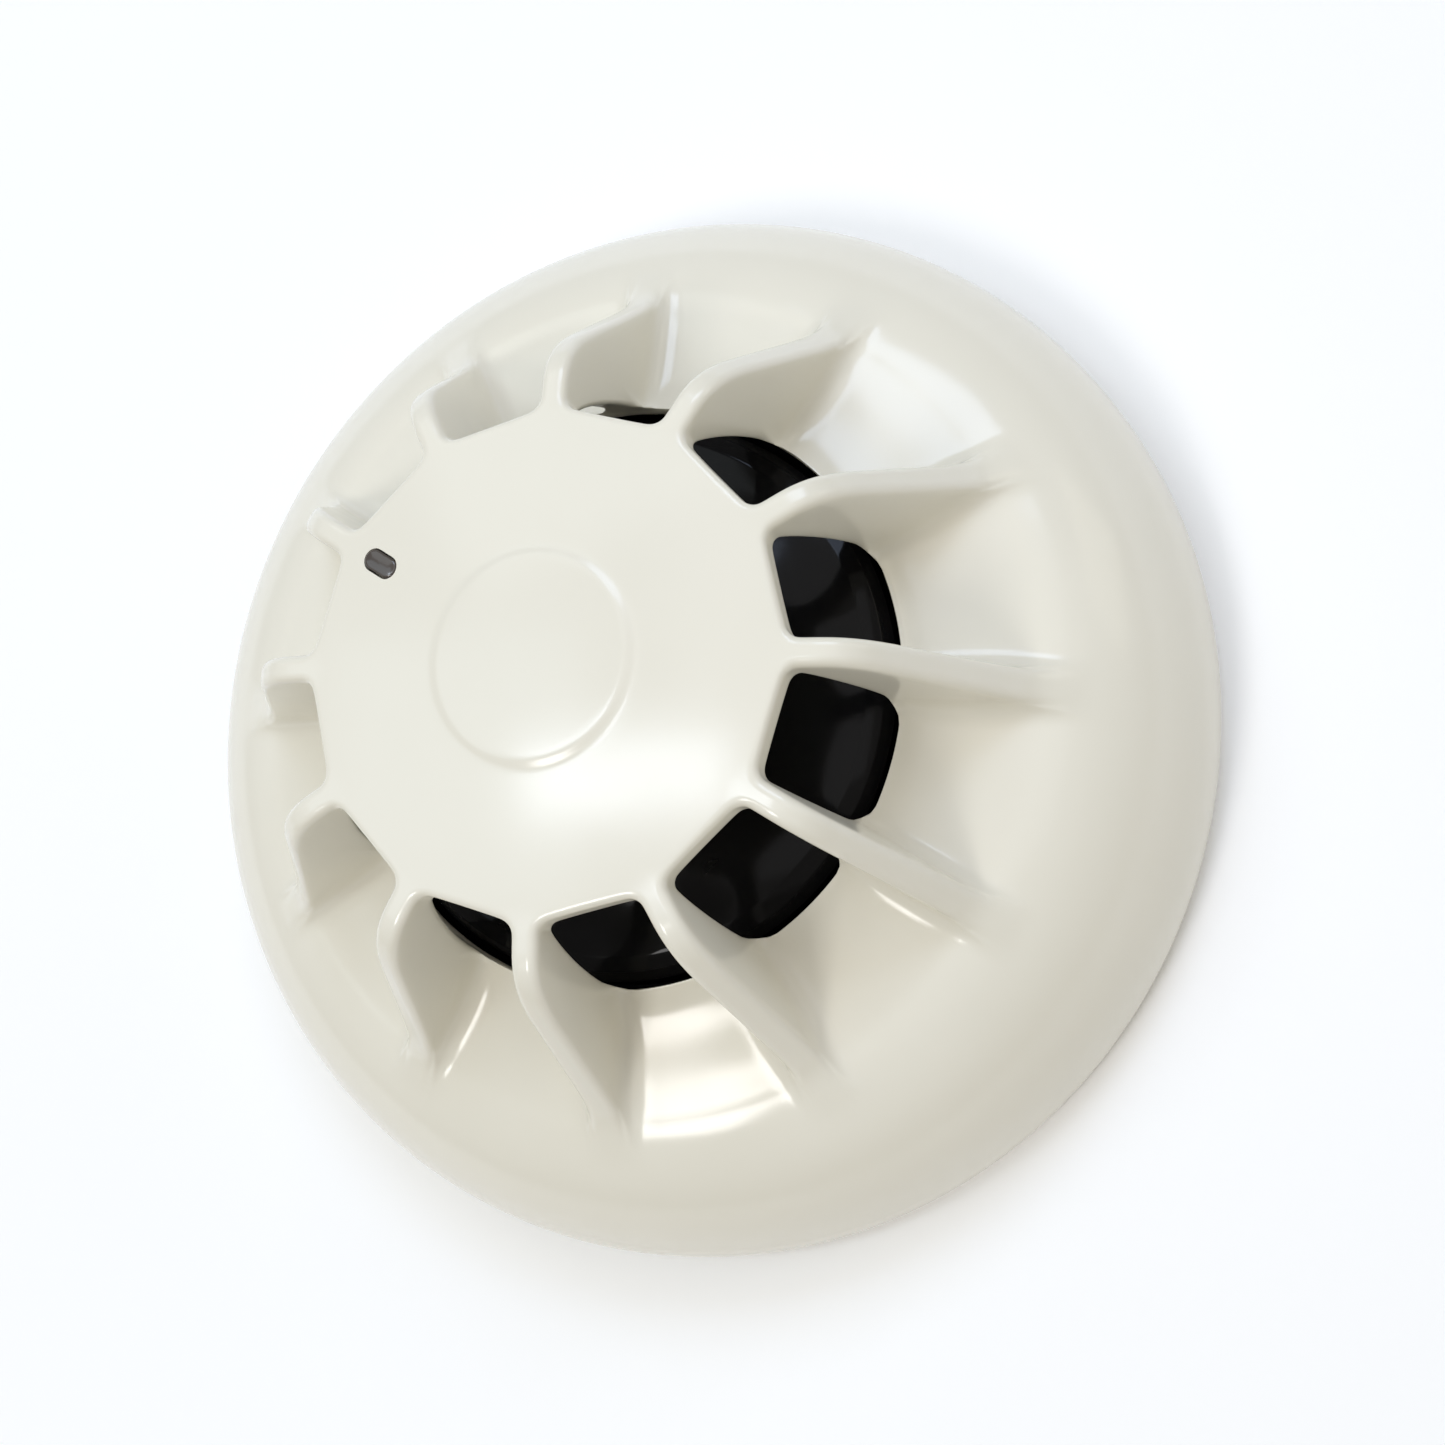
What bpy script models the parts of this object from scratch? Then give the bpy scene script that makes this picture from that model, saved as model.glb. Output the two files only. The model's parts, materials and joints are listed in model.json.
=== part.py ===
# Ceiling heat detector: a ribbed sensor head that twist-locks onto a wiring base.
# Blender 4.5, metres, +Z up.  The back of the mounting base lies on z = 0 and the
# sensing face looks along +Z.  Lengths below are millimetres and are scaled by MM.

import bpy
import bmesh
import math
from mathutils import Matrix

MM = 0.001

# ---------------------------------------------------------------- driving sizes
R_HEAD = 50.0            # outer radius of the head
Z_SKIRT = 1.9            # lower edge of the head's skirt
Z_WAIST = 2.2            # where the skirt starts to curve inwards
R_CROWN = 34.9           # centre radius of the shoulder's quarter ellipse
Z_CROWN = 18.6           # top of the shoulder
WALL = 1.8               # wall thickness of the cover
R_SILL = 26.0            # lower edge of the sensing windows
Z_SILL = 21.4
R_FACE = 21.3            # face disc
Z_FACE = 37.3            # height of the face disc at its edge
FACE_RISE = 1.5          # crown of the face disc
FACE_THICK = 2.3
R_BADGE = 8.9            # plain raised centre of the face
BADGE_RISE = 0.25
N_RIBS = 12
RIB_THICK = 2.4
RIB_PHASE = 15.0         # degrees
STEPS = 48               # facets round the cover

R_LED = 17.1             # indicator window
AZ_LED = 75.0
PILL_LONG = 3.3
PILL_WIDE = 1.75
PILL_GAP = 0.2

R_BASE = 49.6
BASE_THICK = 1.6
R_CABLE = 11.0           # cable entry in the base
Z_RING = 7.2             # top of the bayonet ring
Z_PAD = 3.4              # top of the terminal pads
LUG_AZ = (45.0, 135.0, 225.0, 315.0)
LUG_HALF = 8.0           # degrees
LEDGE_HALF = 9.0
TWIST = 20.0             # degrees from locked to free
TERMINAL_AZ = (0.0, 90.0, 180.0, 270.0)
R_TERMINAL = 21.9
SCREW_LIFT = 1.5         # how far a terminal screw backs out

Z_PLATE = 9.3            # underside of the head's back plate
PLATE_THICK = 1.6
R_PLATE = 45.2
Z_BOARD = 12.2
BOARD_THICK = 1.6
R_BOARD = 30.0
Z_PARTS = Z_BOARD + BOARD_THICK + 0.3    # components stand a hair above the board
BOSS_AZ = (60.0, 180.0, 300.0)
R_BOSS = 38.0
STANDOFF_AZ = (45.0, 135.0, 225.0, 315.0)
R_STANDOFF = 24.0
Z_BEAD = 30.8            # centre of the sensing bead

# ---------------------------------------------------------------- clean scene
for old in list(bpy.data.objects):
    bpy.data.objects.remove(old, do_unlink=True)

scene = bpy.context.scene
PARTS = bpy.data.collections.new("heat_detector")
CUTTERS = bpy.data.collections.new("cutters")
scene.collection.children.link(PARTS)
scene.collection.children.link(CUTTERS)


# ---------------------------------------------------------------- helpers
def material(name, rgb, rough, metal=0.0):
    mat = bpy.data.materials.new(name)
    mat.use_nodes = True
    bsdf = mat.node_tree.nodes["Principled BSDF"]
    bsdf.inputs["Base Color"].default_value = (rgb[0], rgb[1], rgb[2], 1.0)
    bsdf.inputs["Roughness"].default_value = rough
    bsdf.inputs["Metallic"].default_value = metal
    mat.diffuse_color = (rgb[0], rgb[1], rgb[2], 1.0)
    return mat


def polar(r, az):
    a = math.radians(az)
    return (r * math.cos(a), r * math.sin(a))


def circle(cx, cy, r, n, phase=0.0):
    return [(cx + r * math.cos(2 * math.pi * i / n + phase),
             cy + r * math.sin(2 * math.pi * i / n + phase)) for i in range(n)]


def box_outline(x0, x1, y0, y1):
    return [(x0, y0), (x1, y0), (x1, y1), (x0, y1)]


def slot_outline(cx, cy, length, width, az, n=6):
    """A slot with round ends whose long axis points along az."""
    pts = []
    half = (length - width) / 2
    for side in (1, -1):
        for i in range(n + 1):
            a = math.radians(-90 + 180 * i / n) + (0 if side == 1 else math.pi)
            pts.append((side * half + width / 2 * math.cos(a), width / 2 * math.sin(a)))
    c, s = math.cos(math.radians(az)), math.sin(math.radians(az))
    return [(cx + x * c - y * s, cy + x * s + y * c) for x, y in pts]


def sector(r0, r1, a0, a1, n):
    """A piece of a ring between two radii and two azimuths."""
    outer = [polar(r1, a0 + (a1 - a0) * i / n) for i in range(n + 1)]
    inner = [polar(r0, a1 - (a1 - a0) * i / n) for i in range(n + 1)]
    return outer + inner


def strip_outline(path, thick):
    """Outline of a bent strip of even thickness along a path."""
    n = len(path)
    left, right = [], []
    for i, (x, z) in enumerate(path):
        x0, z0 = path[max(i - 1, 0)]
        x1, z1 = path[min(i + 1, n - 1)]
        d = math.hypot(x1 - x0, z1 - z0)
        nx, nz = -(z1 - z0) / d, (x1 - x0) / d
        left.append((x + nx * thick / 2, z + nz * thick / 2))
        right.append((x - nx * thick / 2, z - nz * thick / 2))
    return right + left[::-1]


def link(ob, mat, parent, coll):
    if mat is not None:
        ob.data.materials.clear()
        ob.data.materials.append(mat)
    coll.objects.link(ob)
    if parent is not None:
        ob.parent = parent
    return ob


def as_cutter(ob):
    """Take an object out of the model and keep it as a Boolean operand."""
    for coll in list(ob.users_collection):
        coll.objects.unlink(ob)
    CUTTERS.objects.link(ob)
    ob.hide_render = True
    ob.display_type = 'WIRE'
    return ob


def smooth(mesh, angle=35.0):
    mesh.shade_smooth()
    mesh.set_sharp_from_angle(angle=math.radians(angle))


def turned(name, profile, steps, mat=None, parent=None, closed=True, coll=PARTS):
    """A turned solid; the profile runs down its outer side, top to bottom."""
    mesh = bpy.data.meshes.new(name)
    verts = [(r * MM, 0.0, z * MM) for r, z in profile]
    edges = [(i, i + 1) for i in range(len(verts) - 1)]
    if closed:
        edges.append((len(verts) - 1, 0))
    mesh.from_pydata(verts, edges, [])
    ob = link(bpy.data.objects.new(name, mesh), mat, parent, coll)
    mod = ob.modifiers.new("turn", 'SCREW')
    mod.axis = 'Z'
    mod.angle = 2 * math.pi
    mod.steps = steps
    mod.render_steps = steps
    mod.use_merge_vertices = True
    mod.merge_threshold = 0.000001
    mod.use_smooth_shade = True
    return ob


def curve_to_mesh(curve_ob, name, mat, parent, coll):
    """Make a curve object a closed mesh object in the same place."""
    bpy.context.view_layer.update()
    deps = bpy.context.evaluated_depsgraph_get()
    mesh = bpy.data.meshes.new_from_object(curve_ob.evaluated_get(deps))
    mesh.name = name
    bm = bmesh.new()
    bm.from_mesh(mesh)
    bmesh.ops.remove_doubles(bm, verts=bm.verts, dist=0.000002)
    bmesh.ops.recalc_face_normals(bm, faces=bm.faces)
    bm.to_mesh(mesh)
    bm.free()
    smooth(mesh)
    place = curve_ob.matrix_world.copy()
    old = curve_ob.data
    bpy.data.objects.remove(curve_ob, do_unlink=True)
    bpy.data.curves.remove(old)
    ob = link(bpy.data.objects.new(name, mesh), mat, parent, coll)
    ob.matrix_basis = place
    return ob


def plate(name, loops, z0, z1, mat=None, parent=None, coll=PARTS, upright=False):
    """A flat outline with holes, thickened from z0 to z1.  When upright, the
    outline's second axis stands up and the thickness runs along Y."""
    cu = bpy.data.curves.new(name, 'CURVE')
    cu.dimensions = '2D'
    cu.fill_mode = 'BOTH'
    cu.extrude = (z1 - z0) / 2 * MM
    for loop in loops:
        sp = cu.splines.new('POLY')
        sp.points.add(len(loop) - 1)
        for p, (x, y) in zip(sp.points, loop):
            p.co = (x * MM, y * MM, 0.0, 1.0)
        sp.use_cyclic_u = True
    ob = bpy.data.objects.new(name + "_outline", cu)
    scene.collection.objects.link(ob)
    if upright:
        ob.rotation_euler = (math.pi / 2, 0, 0)
        ob.location = (0, -(z0 + z1) / 2 * MM, 0)
    else:
        ob.location = (0, 0, (z0 + z1) / 2 * MM)
    return curve_to_mesh(ob, name, mat, parent, coll)


def wire(name, points, radius, mat, parent, coll=PARTS):
    """A round wire through the points."""
    cu = bpy.data.curves.new(name, 'CURVE')
    cu.dimensions = '3D'
    cu.bevel_depth = radius * MM
    cu.bevel_resolution = 2
    cu.use_fill_caps = True
    sp = cu.splines.new('POLY')
    sp.points.add(len(points) - 1)
    for p, (x, y, z) in zip(sp.points, points):
        p.co = (x * MM, y * MM, z * MM, 1.0)
    ob = bpy.data.objects.new(name + "_path", cu)
    scene.collection.objects.link(ob)
    return curve_to_mesh(ob, name, mat, parent, coll)


def rod(name, x, y, r, z0, z1, n=16, mat=None, parent=None, coll=CUTTERS):
    """An upright cylinder."""
    bpy.ops.mesh.primitive_cylinder_add(vertices=n, radius=r * MM, depth=(z1 - z0) * MM,
                                        location=(x * MM, y * MM, (z0 + z1) / 2 * MM))
    ob = bpy.context.object
    ob.name = name
    ob.data.name = name
    for old_coll in list(ob.users_collection):
        old_coll.objects.unlink(ob)
    smooth(ob.data)
    link(ob, mat, parent, coll)
    if coll is CUTTERS:
        ob.hide_render = True
        ob.display_type = 'WIRE'
    return ob


def block(name, cx, cy, sx, sy, z0, z1, az=0.0, bevel=0.0, mat=None, parent=None, coll=PARTS):
    """A box, optionally with rounded edges, turned by az about Z."""
    bpy.ops.mesh.primitive_cube_add(size=1.0, location=(0, 0, 0))
    ob = bpy.context.object
    ob.name = name
    ob.data.name = name
    ob.data.transform(Matrix.Diagonal((sx * MM, sy * MM, (z1 - z0) * MM, 1.0)))
    ob.location = (cx * MM, cy * MM, (z0 + z1) / 2 * MM)
    ob.rotation_euler = (0, 0, math.radians(az))
    for old_coll in list(ob.users_collection):
        old_coll.objects.unlink(ob)
    link(ob, mat, parent, coll)
    if coll is CUTTERS:
        ob.hide_render = True
        ob.display_type = 'WIRE'
    if bevel > 0:
        mod = ob.modifiers.new("edges", 'BEVEL')
        mod.width = bevel * MM
        mod.segments = 1
    return ob


def boolean(target, operation, operand):
    mod = target.modifiers.new(operation.lower() + "_" + operand.name, 'BOOLEAN')
    mod.operation = operation
    mod.object = operand
    mod.solver = 'EXACT'
    return mod


def spread(ob, azimuths, name):
    """Turned copies of one object as the separate bodies of a single operand."""
    bm = bmesh.new()
    for az in azimuths:
        part = bmesh.new()
        part.from_mesh(ob.data)
        part.transform(Matrix.Rotation(math.radians(az), 4, 'Z') @ ob.matrix_basis)
        tmp = bpy.data.meshes.new("tmp")
        part.to_mesh(tmp)
        part.free()
        bm.from_mesh(tmp)
        bpy.data.meshes.remove(tmp)
    mesh = bpy.data.meshes.new(name)
    bm.to_mesh(mesh)
    bm.free()
    new = bpy.data.objects.new(name, mesh)
    CUTTERS.objects.link(new)
    new.hide_render = True
    new.display_type = 'WIRE'
    bpy.data.objects.remove(ob, do_unlink=True)
    return new


def repeat(ob, names, azimuths, parent=None):
    """The same piece again, turned about the main axis."""
    made = [ob]
    first = azimuths[0]
    ob.rotation_euler.z += math.radians(first)
    for name, az in zip(names[1:], azimuths[1:]):
        twin = ob.copy()
        twin.name = name
        twin.rotation_euler.z = ob.rotation_euler.z + math.radians(az - first)
        r = math.hypot(ob.location.x, ob.location.y)
        if r > 1e-9:
            a = math.atan2(ob.location.y, ob.location.x) + math.radians(az - first)
            twin.location.x = r * math.cos(a)
            twin.location.y = r * math.sin(a)
        PARTS.objects.link(twin)
        made.append(twin)
    return made


def empty(name, location=(0, 0, 0), parent=None):
    ob = bpy.data.objects.new(name, None)
    ob.empty_display_size = 0.01
    ob.location = [v * MM for v in location]
    PARTS.objects.link(ob)
    if parent is not None:
        ob.parent = parent
    return ob


# ---------------------------------------------------------------- materials
IVORY = material("cover_plastic", (0.80, 0.79, 0.74), 0.30)
BASE_PLASTIC = material("base_plastic", (0.78, 0.77, 0.72), 0.42)
PLATE_PLASTIC = material("plate_plastic", (0.74, 0.73, 0.68), 0.45)
BLACK = material("shield_plastic", (0.012, 0.012, 0.013), 0.16)
SMOKED = material("light_pipe_plastic", (0.080, 0.066, 0.058), 0.14)
BRASS = material("contact_brass", (0.78, 0.60, 0.30), 0.30, 1.0)
ZINC = material("screw_zinc", (0.66, 0.67, 0.69), 0.34, 1.0)
RESIN = material("board_resin", (0.03, 0.22, 0.09), 0.5)
EPOXY = material("bead_epoxy", (0.05, 0.05, 0.055), 0.35)
TIN = material("lead_tin", (0.72, 0.72, 0.73), 0.3, 1.0)
CHIP = material("chip_epoxy", (0.02, 0.02, 0.022), 0.55)
CAN = material("capacitor_sleeve", (0.04, 0.05, 0.12), 0.35)
BLUE = material("varistor_lacquer", (0.05, 0.16, 0.42), 0.4)
SAND = material("resistor_body", (0.66, 0.55, 0.38), 0.5)
FILM = material("film_capacitor_case", (0.62, 0.12, 0.08), 0.4)
LED_RED = material("led_lens", (0.55, 0.03, 0.03), 0.2)
RUBBER = material("seal_rubber", (0.05, 0.05, 0.05), 0.8)

# ---------------------------------------------------------------- bodies
base_frame = empty("base_frame")
head_axis = empty("head_axis")      # on the twist axis


# ================================================================ outer cover
def shoulder(u, inset=0.0):
    """Quarter ellipse of the shoulder; u is 0 at the skirt and 90 at the crown."""
    a = math.radians(u)
    return (R_CROWN + (R_HEAD - R_CROWN - inset) * math.cos(a),
            Z_WAIST + (Z_CROWN - Z_WAIST - inset) * math.sin(a))


def face_z(r):
    return Z_FACE + FACE_RISE * (1 - (r / R_FACE) ** 2)


# pocket floor from the sill to the shoulder, then down to the skirt
outer = [(R_SILL, Z_SILL), (27.1, 20.55), (29.0, 19.85), (32.0, 19.3), (35.0, 18.85)]
outer += [shoulder(u) for u in (78, 66, 54, 43, 32, 21, 10)]
outer += [(R_HEAD, Z_WAIST), (R_HEAD, Z_SKIRT)]
inner = [(R_HEAD - WALL + 0.2, Z_SKIRT)]
inner += [shoulder(u, WALL) for u in (8, 22, 36, 50, 64, 80)]
inner += [(31.5, 17.6), (28.5, 18.4), (R_SILL, 19.5)]
outer_cover = turned("outer_cover", outer + inner, STEPS, IVORY, head_axis)

# face disc with its plain raised centre
face = [(0, face_z(0) + BADGE_RISE), (R_BADGE - 0.4, face_z(R_BADGE) + BADGE_RISE),
        (R_BADGE, face_z(R_BADGE) + 0.05), (13.5, face_z(13.5)), (18.0, face_z(18.0)),
        (R_FACE - 0.4, face_z(R_FACE) + 0.02), (R_FACE, Z_FACE - 0.45),
        (R_FACE, Z_FACE - FACE_THICK + 0.3), (R_FACE - 0.4, Z_FACE - FACE_THICK),
        (0, Z_FACE - FACE_THICK)]
face_disc = as_cutter(turned("face_disc", face, STEPS, IVORY, closed=False))

# one rib: near-flat crest, then a straight fall that dies into the shoulder
rib = [(20.2, 36.3), (21.6, 37.2), (24.3, 37.05), (26.6, 36.1), (28.2, 34.6), (29.4, 32.6),
       (31.6, 28.7), (34.2, 24.1), (36.0, 21.2), (37.6, 19.4), (39.6, 18.1), (41.2, 16.6),
       (39.6, 16.7), (35.0, 17.9), (30.0, 18.8), (26.6, 19.9), (25.8, 20.4), (25.6, 23.5),
       (24.4, 28.0), (22.9, 31.4), (21.4, 33.9), (20.4, 35.2)]
rib_ob = plate("rib", [rib], -RIB_THICK / 2, RIB_THICK / 2, IVORY, upright=True, coll=CUTTERS)
ribs = spread(rib_ob, [RIB_PHASE + 360.0 / N_RIBS * i for i in range(N_RIBS)], "ribs")

boss_ob = rod("boss", R_BOSS, 0, 2.8, Z_PLATE + PLATE_THICK + 0.3, 16.8, 16)
bosses = spread(boss_ob, BOSS_AZ, "bosses")
pilot_ob = rod("boss_pilot", R_BOSS, 0, 1.5, Z_PLATE, 16.5, 12)
pilots = spread(pilot_ob, BOSS_AZ, "boss_pilots")
lx, ly = polar(R_LED, AZ_LED)
pill_hole = as_cutter(plate("pill_hole", [slot_outline(lx, ly, PILL_LONG + 2 * PILL_GAP,
                                                       PILL_WIDE + 2 * PILL_GAP, AZ_LED)],
                            Z_FACE - 6.0, Z_FACE + 6.0))
mark_ob = block("mark", R_HEAD - 0.4, 0, 1.6, 1.9, Z_WAIST + 0.3, Z_WAIST + 3.1, coll=CUTTERS)
marks = spread(mark_ob, [30.0], "alignment_mark")

boolean(outer_cover, 'UNION', face_disc)
boolean(outer_cover, 'UNION', ribs)
boolean(outer_cover, 'UNION', bosses)
boolean(outer_cover, 'UNION', marks)
boolean(outer_cover, 'DIFFERENCE', pilots)
boolean(outer_cover, 'DIFFERENCE', pill_hole)

# ================================================================ black inner shield
shield_profile = [(2.4, 25.0), (10.0, 24.6), (17.0, 23.5), (21.6, 21.9), (24.2, 20.0),
                  (25.3, 17.9), (25.3, 17.0), (28.6, 17.0), (28.6, Z_PARTS),
                  (27.4, Z_PARTS), (27.4, 15.8), (24.1, 15.8), (24.1, 17.6), (23.2, 19.2),
                  (21.0, 20.7), (16.7, 22.3), (10.0, 23.4), (2.4, 23.8)]
inner_shield = turned("inner_shield", shield_profile, 36, BLACK, head_axis)
pipe_way = rod("pipe_way", lx, ly, 1.6, 18.0, 27.0, 12)
boolean(inner_shield, 'DIFFERENCE', pipe_way)

cover_seal = turned("cover_seal", [(28.4, 18.1), (28.4, 17.3), (26.9, 17.3), (26.9, 18.1)],
                    36, RUBBER, head_axis)

# ================================================================ indicator light path
light_pipe = plate("light_pipe", [slot_outline(lx, ly, PILL_LONG, PILL_WIDE, AZ_LED)],
                   Z_FACE - FACE_THICK - 0.6, face_z(R_LED) + 0.05, SMOKED, head_axis)
pipe_stem = rod("pipe_stem", lx, ly, 0.8, 18.4, Z_FACE - 1.5, 12)
boolean(light_pipe, 'UNION', pipe_stem)

led_profile = [(0, 18.0), (0.8, 17.8), (1.35, 17.2), (1.5, 16.5), (1.5, 14.9), (1.8, 14.9),
               (1.8, Z_PARTS), (0, Z_PARTS)]
status_led = turned("status_led", led_profile, 14, LED_RED, head_axis, closed=False)
status_led.location = (lx * MM, ly * MM, 0)

# ================================================================ temperature sensor
bpy.ops.mesh.primitive_uv_sphere_add(segments=14, ring_count=8, radius=1.3 * MM)
thermistor_bead = bpy.context.object
thermistor_bead.name = "thermistor_bead"
for c in list(thermistor_bead.users_collection):
    c.objects.unlink(thermistor_bead)
thermistor_bead.data.transform(Matrix.Diagonal((1.0, 1.0, 1.25, 1.0)))
thermistor_bead.location = (0, 0, Z_BEAD * MM)
smooth(thermistor_bead.data, 60)
link(thermistor_bead, EPOXY, head_axis, PARTS)

for i, side in enumerate((1, -1)):
    pts = []
    for k in range(9):
        t = k / 8
        z = Z_PARTS + (Z_BEAD - 1.85 - Z_PARTS) * t
        ease = min(max((z - 26.3) / 2.2, 0.0), 1.0)
        ease = ease * ease * (3 - 2 * ease)
        pts.append((side * (1.0 - 0.5 * ease), 0.0, z))
    wire("thermistor_lead_%d" % (i + 1), pts, 0.28, TIN, head_axis)

grommet = [(3.4, 26.0), (3.4, 25.3), (2.1, 25.3), (2.1, 22.8), (0, 22.8)]
sensor_grommet = turned("sensor_grommet", [(0, 26.0)] + grommet, 20, RUBBER, head_axis,
                        closed=False)
hole_a = rod("lead_hole_a", 1.0, 0, 0.58, 20.0, 28.0, 8)
hole_b = rod("lead_hole_b", -1.0, 0, 0.58, 20.0, 28.0, 8)
boolean(sensor_grommet, 'DIFFERENCE', hole_a)
boolean(sensor_grommet, 'DIFFERENCE', hole_b)

# ================================================================ circuit board
board_holes = [circle(*polar(R_STANDOFF, az), 1.35, 10) for az in (45.0, 225.0)]
circuit_board = plate("circuit_board", [circle(0, 0, R_BOARD, 40)] + board_holes,
                      Z_BOARD, Z_BOARD + BOARD_THICK, RESIN, head_axis)


def capacitor(r, z0, z1):
    return [(0, z1), (r - 0.5, z1), (r, z1 - 0.4), (r, z0 + 1.5), (r - 0.35, z0 + 1.2),
            (r, z0 + 0.9), (r, z0), (0, z0)]


electrolytic_capacitor = turned("electrolytic_capacitor", capacitor(2.6, Z_PARTS, 20.6), 16,
                                CAN, head_axis, closed=False)
electrolytic_capacitor.location = (-12.0 * MM, 6.0 * MM, 0)

control_ic = block("control_ic", -6.5, -8.0, 10.0, 6.2, Z_PARTS, Z_PARTS + 1.8, 0, 0.3,
                   CHIP, head_axis)
bridge_rectifier = block("bridge_rectifier", 10.5, -7.0, 6.6, 5.0, Z_PARTS, Z_PARTS + 2.7,
                         0, 0.3, CHIP, head_axis)
film_capacitor = block("film_capacitor", -3.5, 10.5, 7.2, 2.8, Z_PARTS, Z_PARTS + 5.2,
                       12, 0.4, FILM, head_axis)

# a three-legged package with one flat side
d_shape = [(2.2 * math.cos(math.radians(a)), 2.2 * math.sin(math.radians(a)))
           for a in range(-130, 131, 20)]
transistor = plate("transistor", [d_shape], Z_PARTS, Z_PARTS + 4.6, CHIP, head_axis)
transistor.location.x += 2.5 * MM
transistor.location.y += -15.5 * MM

surge = [(0, 1.1), (2.2, 1.1), (2.9, 0.6), (2.9, -0.6), (2.2, -1.1), (0, -1.1)]
surge_suppressor = turned("surge_suppressor", surge, 16, BLUE, head_axis, closed=False)
surge_suppressor.rotation_euler = (math.pi / 2, 0, math.radians(20))
surge_suppressor.location = (12.5 * MM, 4.5 * MM, (Z_PARTS + 3.0) * MM)

res_profile = [(0, 3.2), (0.8, 3.2), (1.15, 2.8), (1.15, 1.9), (0.95, 1.6), (0.95, -1.6),
               (1.15, -1.9), (1.15, -2.8), (0.8, -3.2), (0, -3.2)]
for i, (x, y, az) in enumerate(((-6.0, -1.0, 0), (-5.0, 3.4, 0), (5.0, -1.5, 90), (9.0, 12.0, 40))):
    res = turned("resistor_%d" % (i + 1), res_profile, 10, SAND, head_axis, closed=False)
    res.rotation_euler = (0, math.pi / 2, math.radians(az))
    res.location = (x * MM, y * MM, (Z_PARTS + 1.2) * MM)

bpy.ops.mesh.primitive_uv_sphere_add(segments=10, ring_count=6, radius=1.2 * MM)
reference_thermistor = bpy.context.object
reference_thermistor.name = "reference_thermistor"
for c in list(reference_thermistor.users_collection):
    c.objects.unlink(reference_thermistor)
reference_thermistor.location = (14.0 * MM, -15.0 * MM, (Z_PARTS + 1.25) * MM)
smooth(reference_thermistor.data, 60)
link(reference_thermistor, EPOXY, head_axis, PARTS)

# ================================================================ back plate of the head
blade_slot = [box_outline(25.4, 27.0, -2.9, 2.9)]
slots = []
for az in TERMINAL_AZ:
    a = math.radians(az)
    slots.append([(x * math.cos(a) - y * math.sin(a), x * math.sin(a) + y * math.cos(a))
                  for x, y in blade_slot[0]])
screw_ways = [circle(*polar(R_BOSS, az), 1.55, 10) for az in BOSS_AZ]
back_plate = plate("back_plate", [circle(0, 0, R_PLATE, 48)] + slots + screw_ways,
                   Z_PLATE, Z_PLATE + PLATE_THICK, PLATE_PLASTIC, head_axis)
hub_wall = as_cutter(plate("hub_wall", [circle(0, 0, 34.6, 48), circle(0, 0, 33.0, 48)],
                           4.4, Z_PLATE + 0.6))
lug_ob = plate("lug", [sector(34.1, 36.8, -LUG_HALF, LUG_HALF, 3)], 4.45, 5.9, coll=CUTTERS)
lugs = spread(lug_ob, LUG_AZ, "lugs")
standoff_ob = rod("standoff", R_STANDOFF, 0, 2.4, Z_PLATE + 0.8, Z_BOARD - 0.3, 12)
standoffs = spread(standoff_ob, STANDOFF_AZ, "standoffs")
board_pilot_ob = rod("board_pilot", R_STANDOFF, 0, 1.3, Z_PLATE + 0.5, Z_BOARD + 1.0, 10)
board_pilots = spread(board_pilot_ob, (45.0, 225.0), "board_pilots")
boolean(back_plate, 'UNION', hub_wall)
boolean(back_plate, 'UNION', lugs)
boolean(back_plate, 'UNION', standoffs)
boolean(back_plate, 'DIFFERENCE', board_pilots)

blade = [(25.8, 11.9), (25.8, 5.6), (31.6, 5.6), (32.3, 5.9), (32.3, 6.6), (31.4, 6.4),
         (26.6, 6.4), (26.6, 11.9)]
contact_blade = plate("contact_blade_1", [blade], -2.5, 2.5, BRASS, head_axis, upright=True)
repeat(contact_blade, ["contact_blade_%d" % i for i in (1, 2, 3, 4)], TERMINAL_AZ)


def pan_screw(r_head, z_head, z_seat, r_shank, z_tip):
    """A screw whose head lies between z_head and z_seat; the shank runs to z_tip."""
    up = z_tip > z_seat
    s = 1 if up else -1
    prof = [(0, z_tip), (r_shank * 0.45, z_tip), (r_shank, z_tip - s * 0.7), (r_shank, z_seat),
            (r_head, z_seat), (r_head, z_head + s * 0.5), (r_head - 0.6, z_head), (0, z_head)]
    return prof if up else prof[::-1]


def cross_recess(name, x, y, z_low, z_high, size, wide):
    """A cross-shaped recess for a screwdriver, as one closed operand."""
    h, w = size / 2, wide / 2
    cross = [(h, -w), (h, w), (w, w), (w, h), (-w, h), (-w, w), (-h, w), (-h, -w), (-w, -w),
             (-w, -h), (w, -h), (w, -w)]
    turn = math.radians(19.0)
    c, s = math.cos(turn), math.sin(turn)
    ob = plate(name, [[(x + a * c - b * s, y + a * s + b * c) for a, b in cross]],
               z_low, z_high, coll=CUTTERS)
    ob.hide_render = True
    ob.display_type = 'WIRE'
    return ob


cover_screw = turned("cover_screw_1", pan_screw(2.2, 7.6, Z_PLATE - 0.3, 1.15, 16.0), 14,
                     ZINC, head_axis, closed=False)
cover_screw.location = (R_BOSS * math.cos(math.radians(BOSS_AZ[0])) * MM,
                        R_BOSS * math.sin(math.radians(BOSS_AZ[0])) * MM, 0)
for i, az in enumerate(BOSS_AZ[1:]):
    twin = cover_screw.copy()
    twin.name = "cover_screw_%d" % (i + 2)
    x, y = polar(R_BOSS, az)
    twin.location = (x * MM, y * MM, 0)
    PARTS.objects.link(twin)

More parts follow.
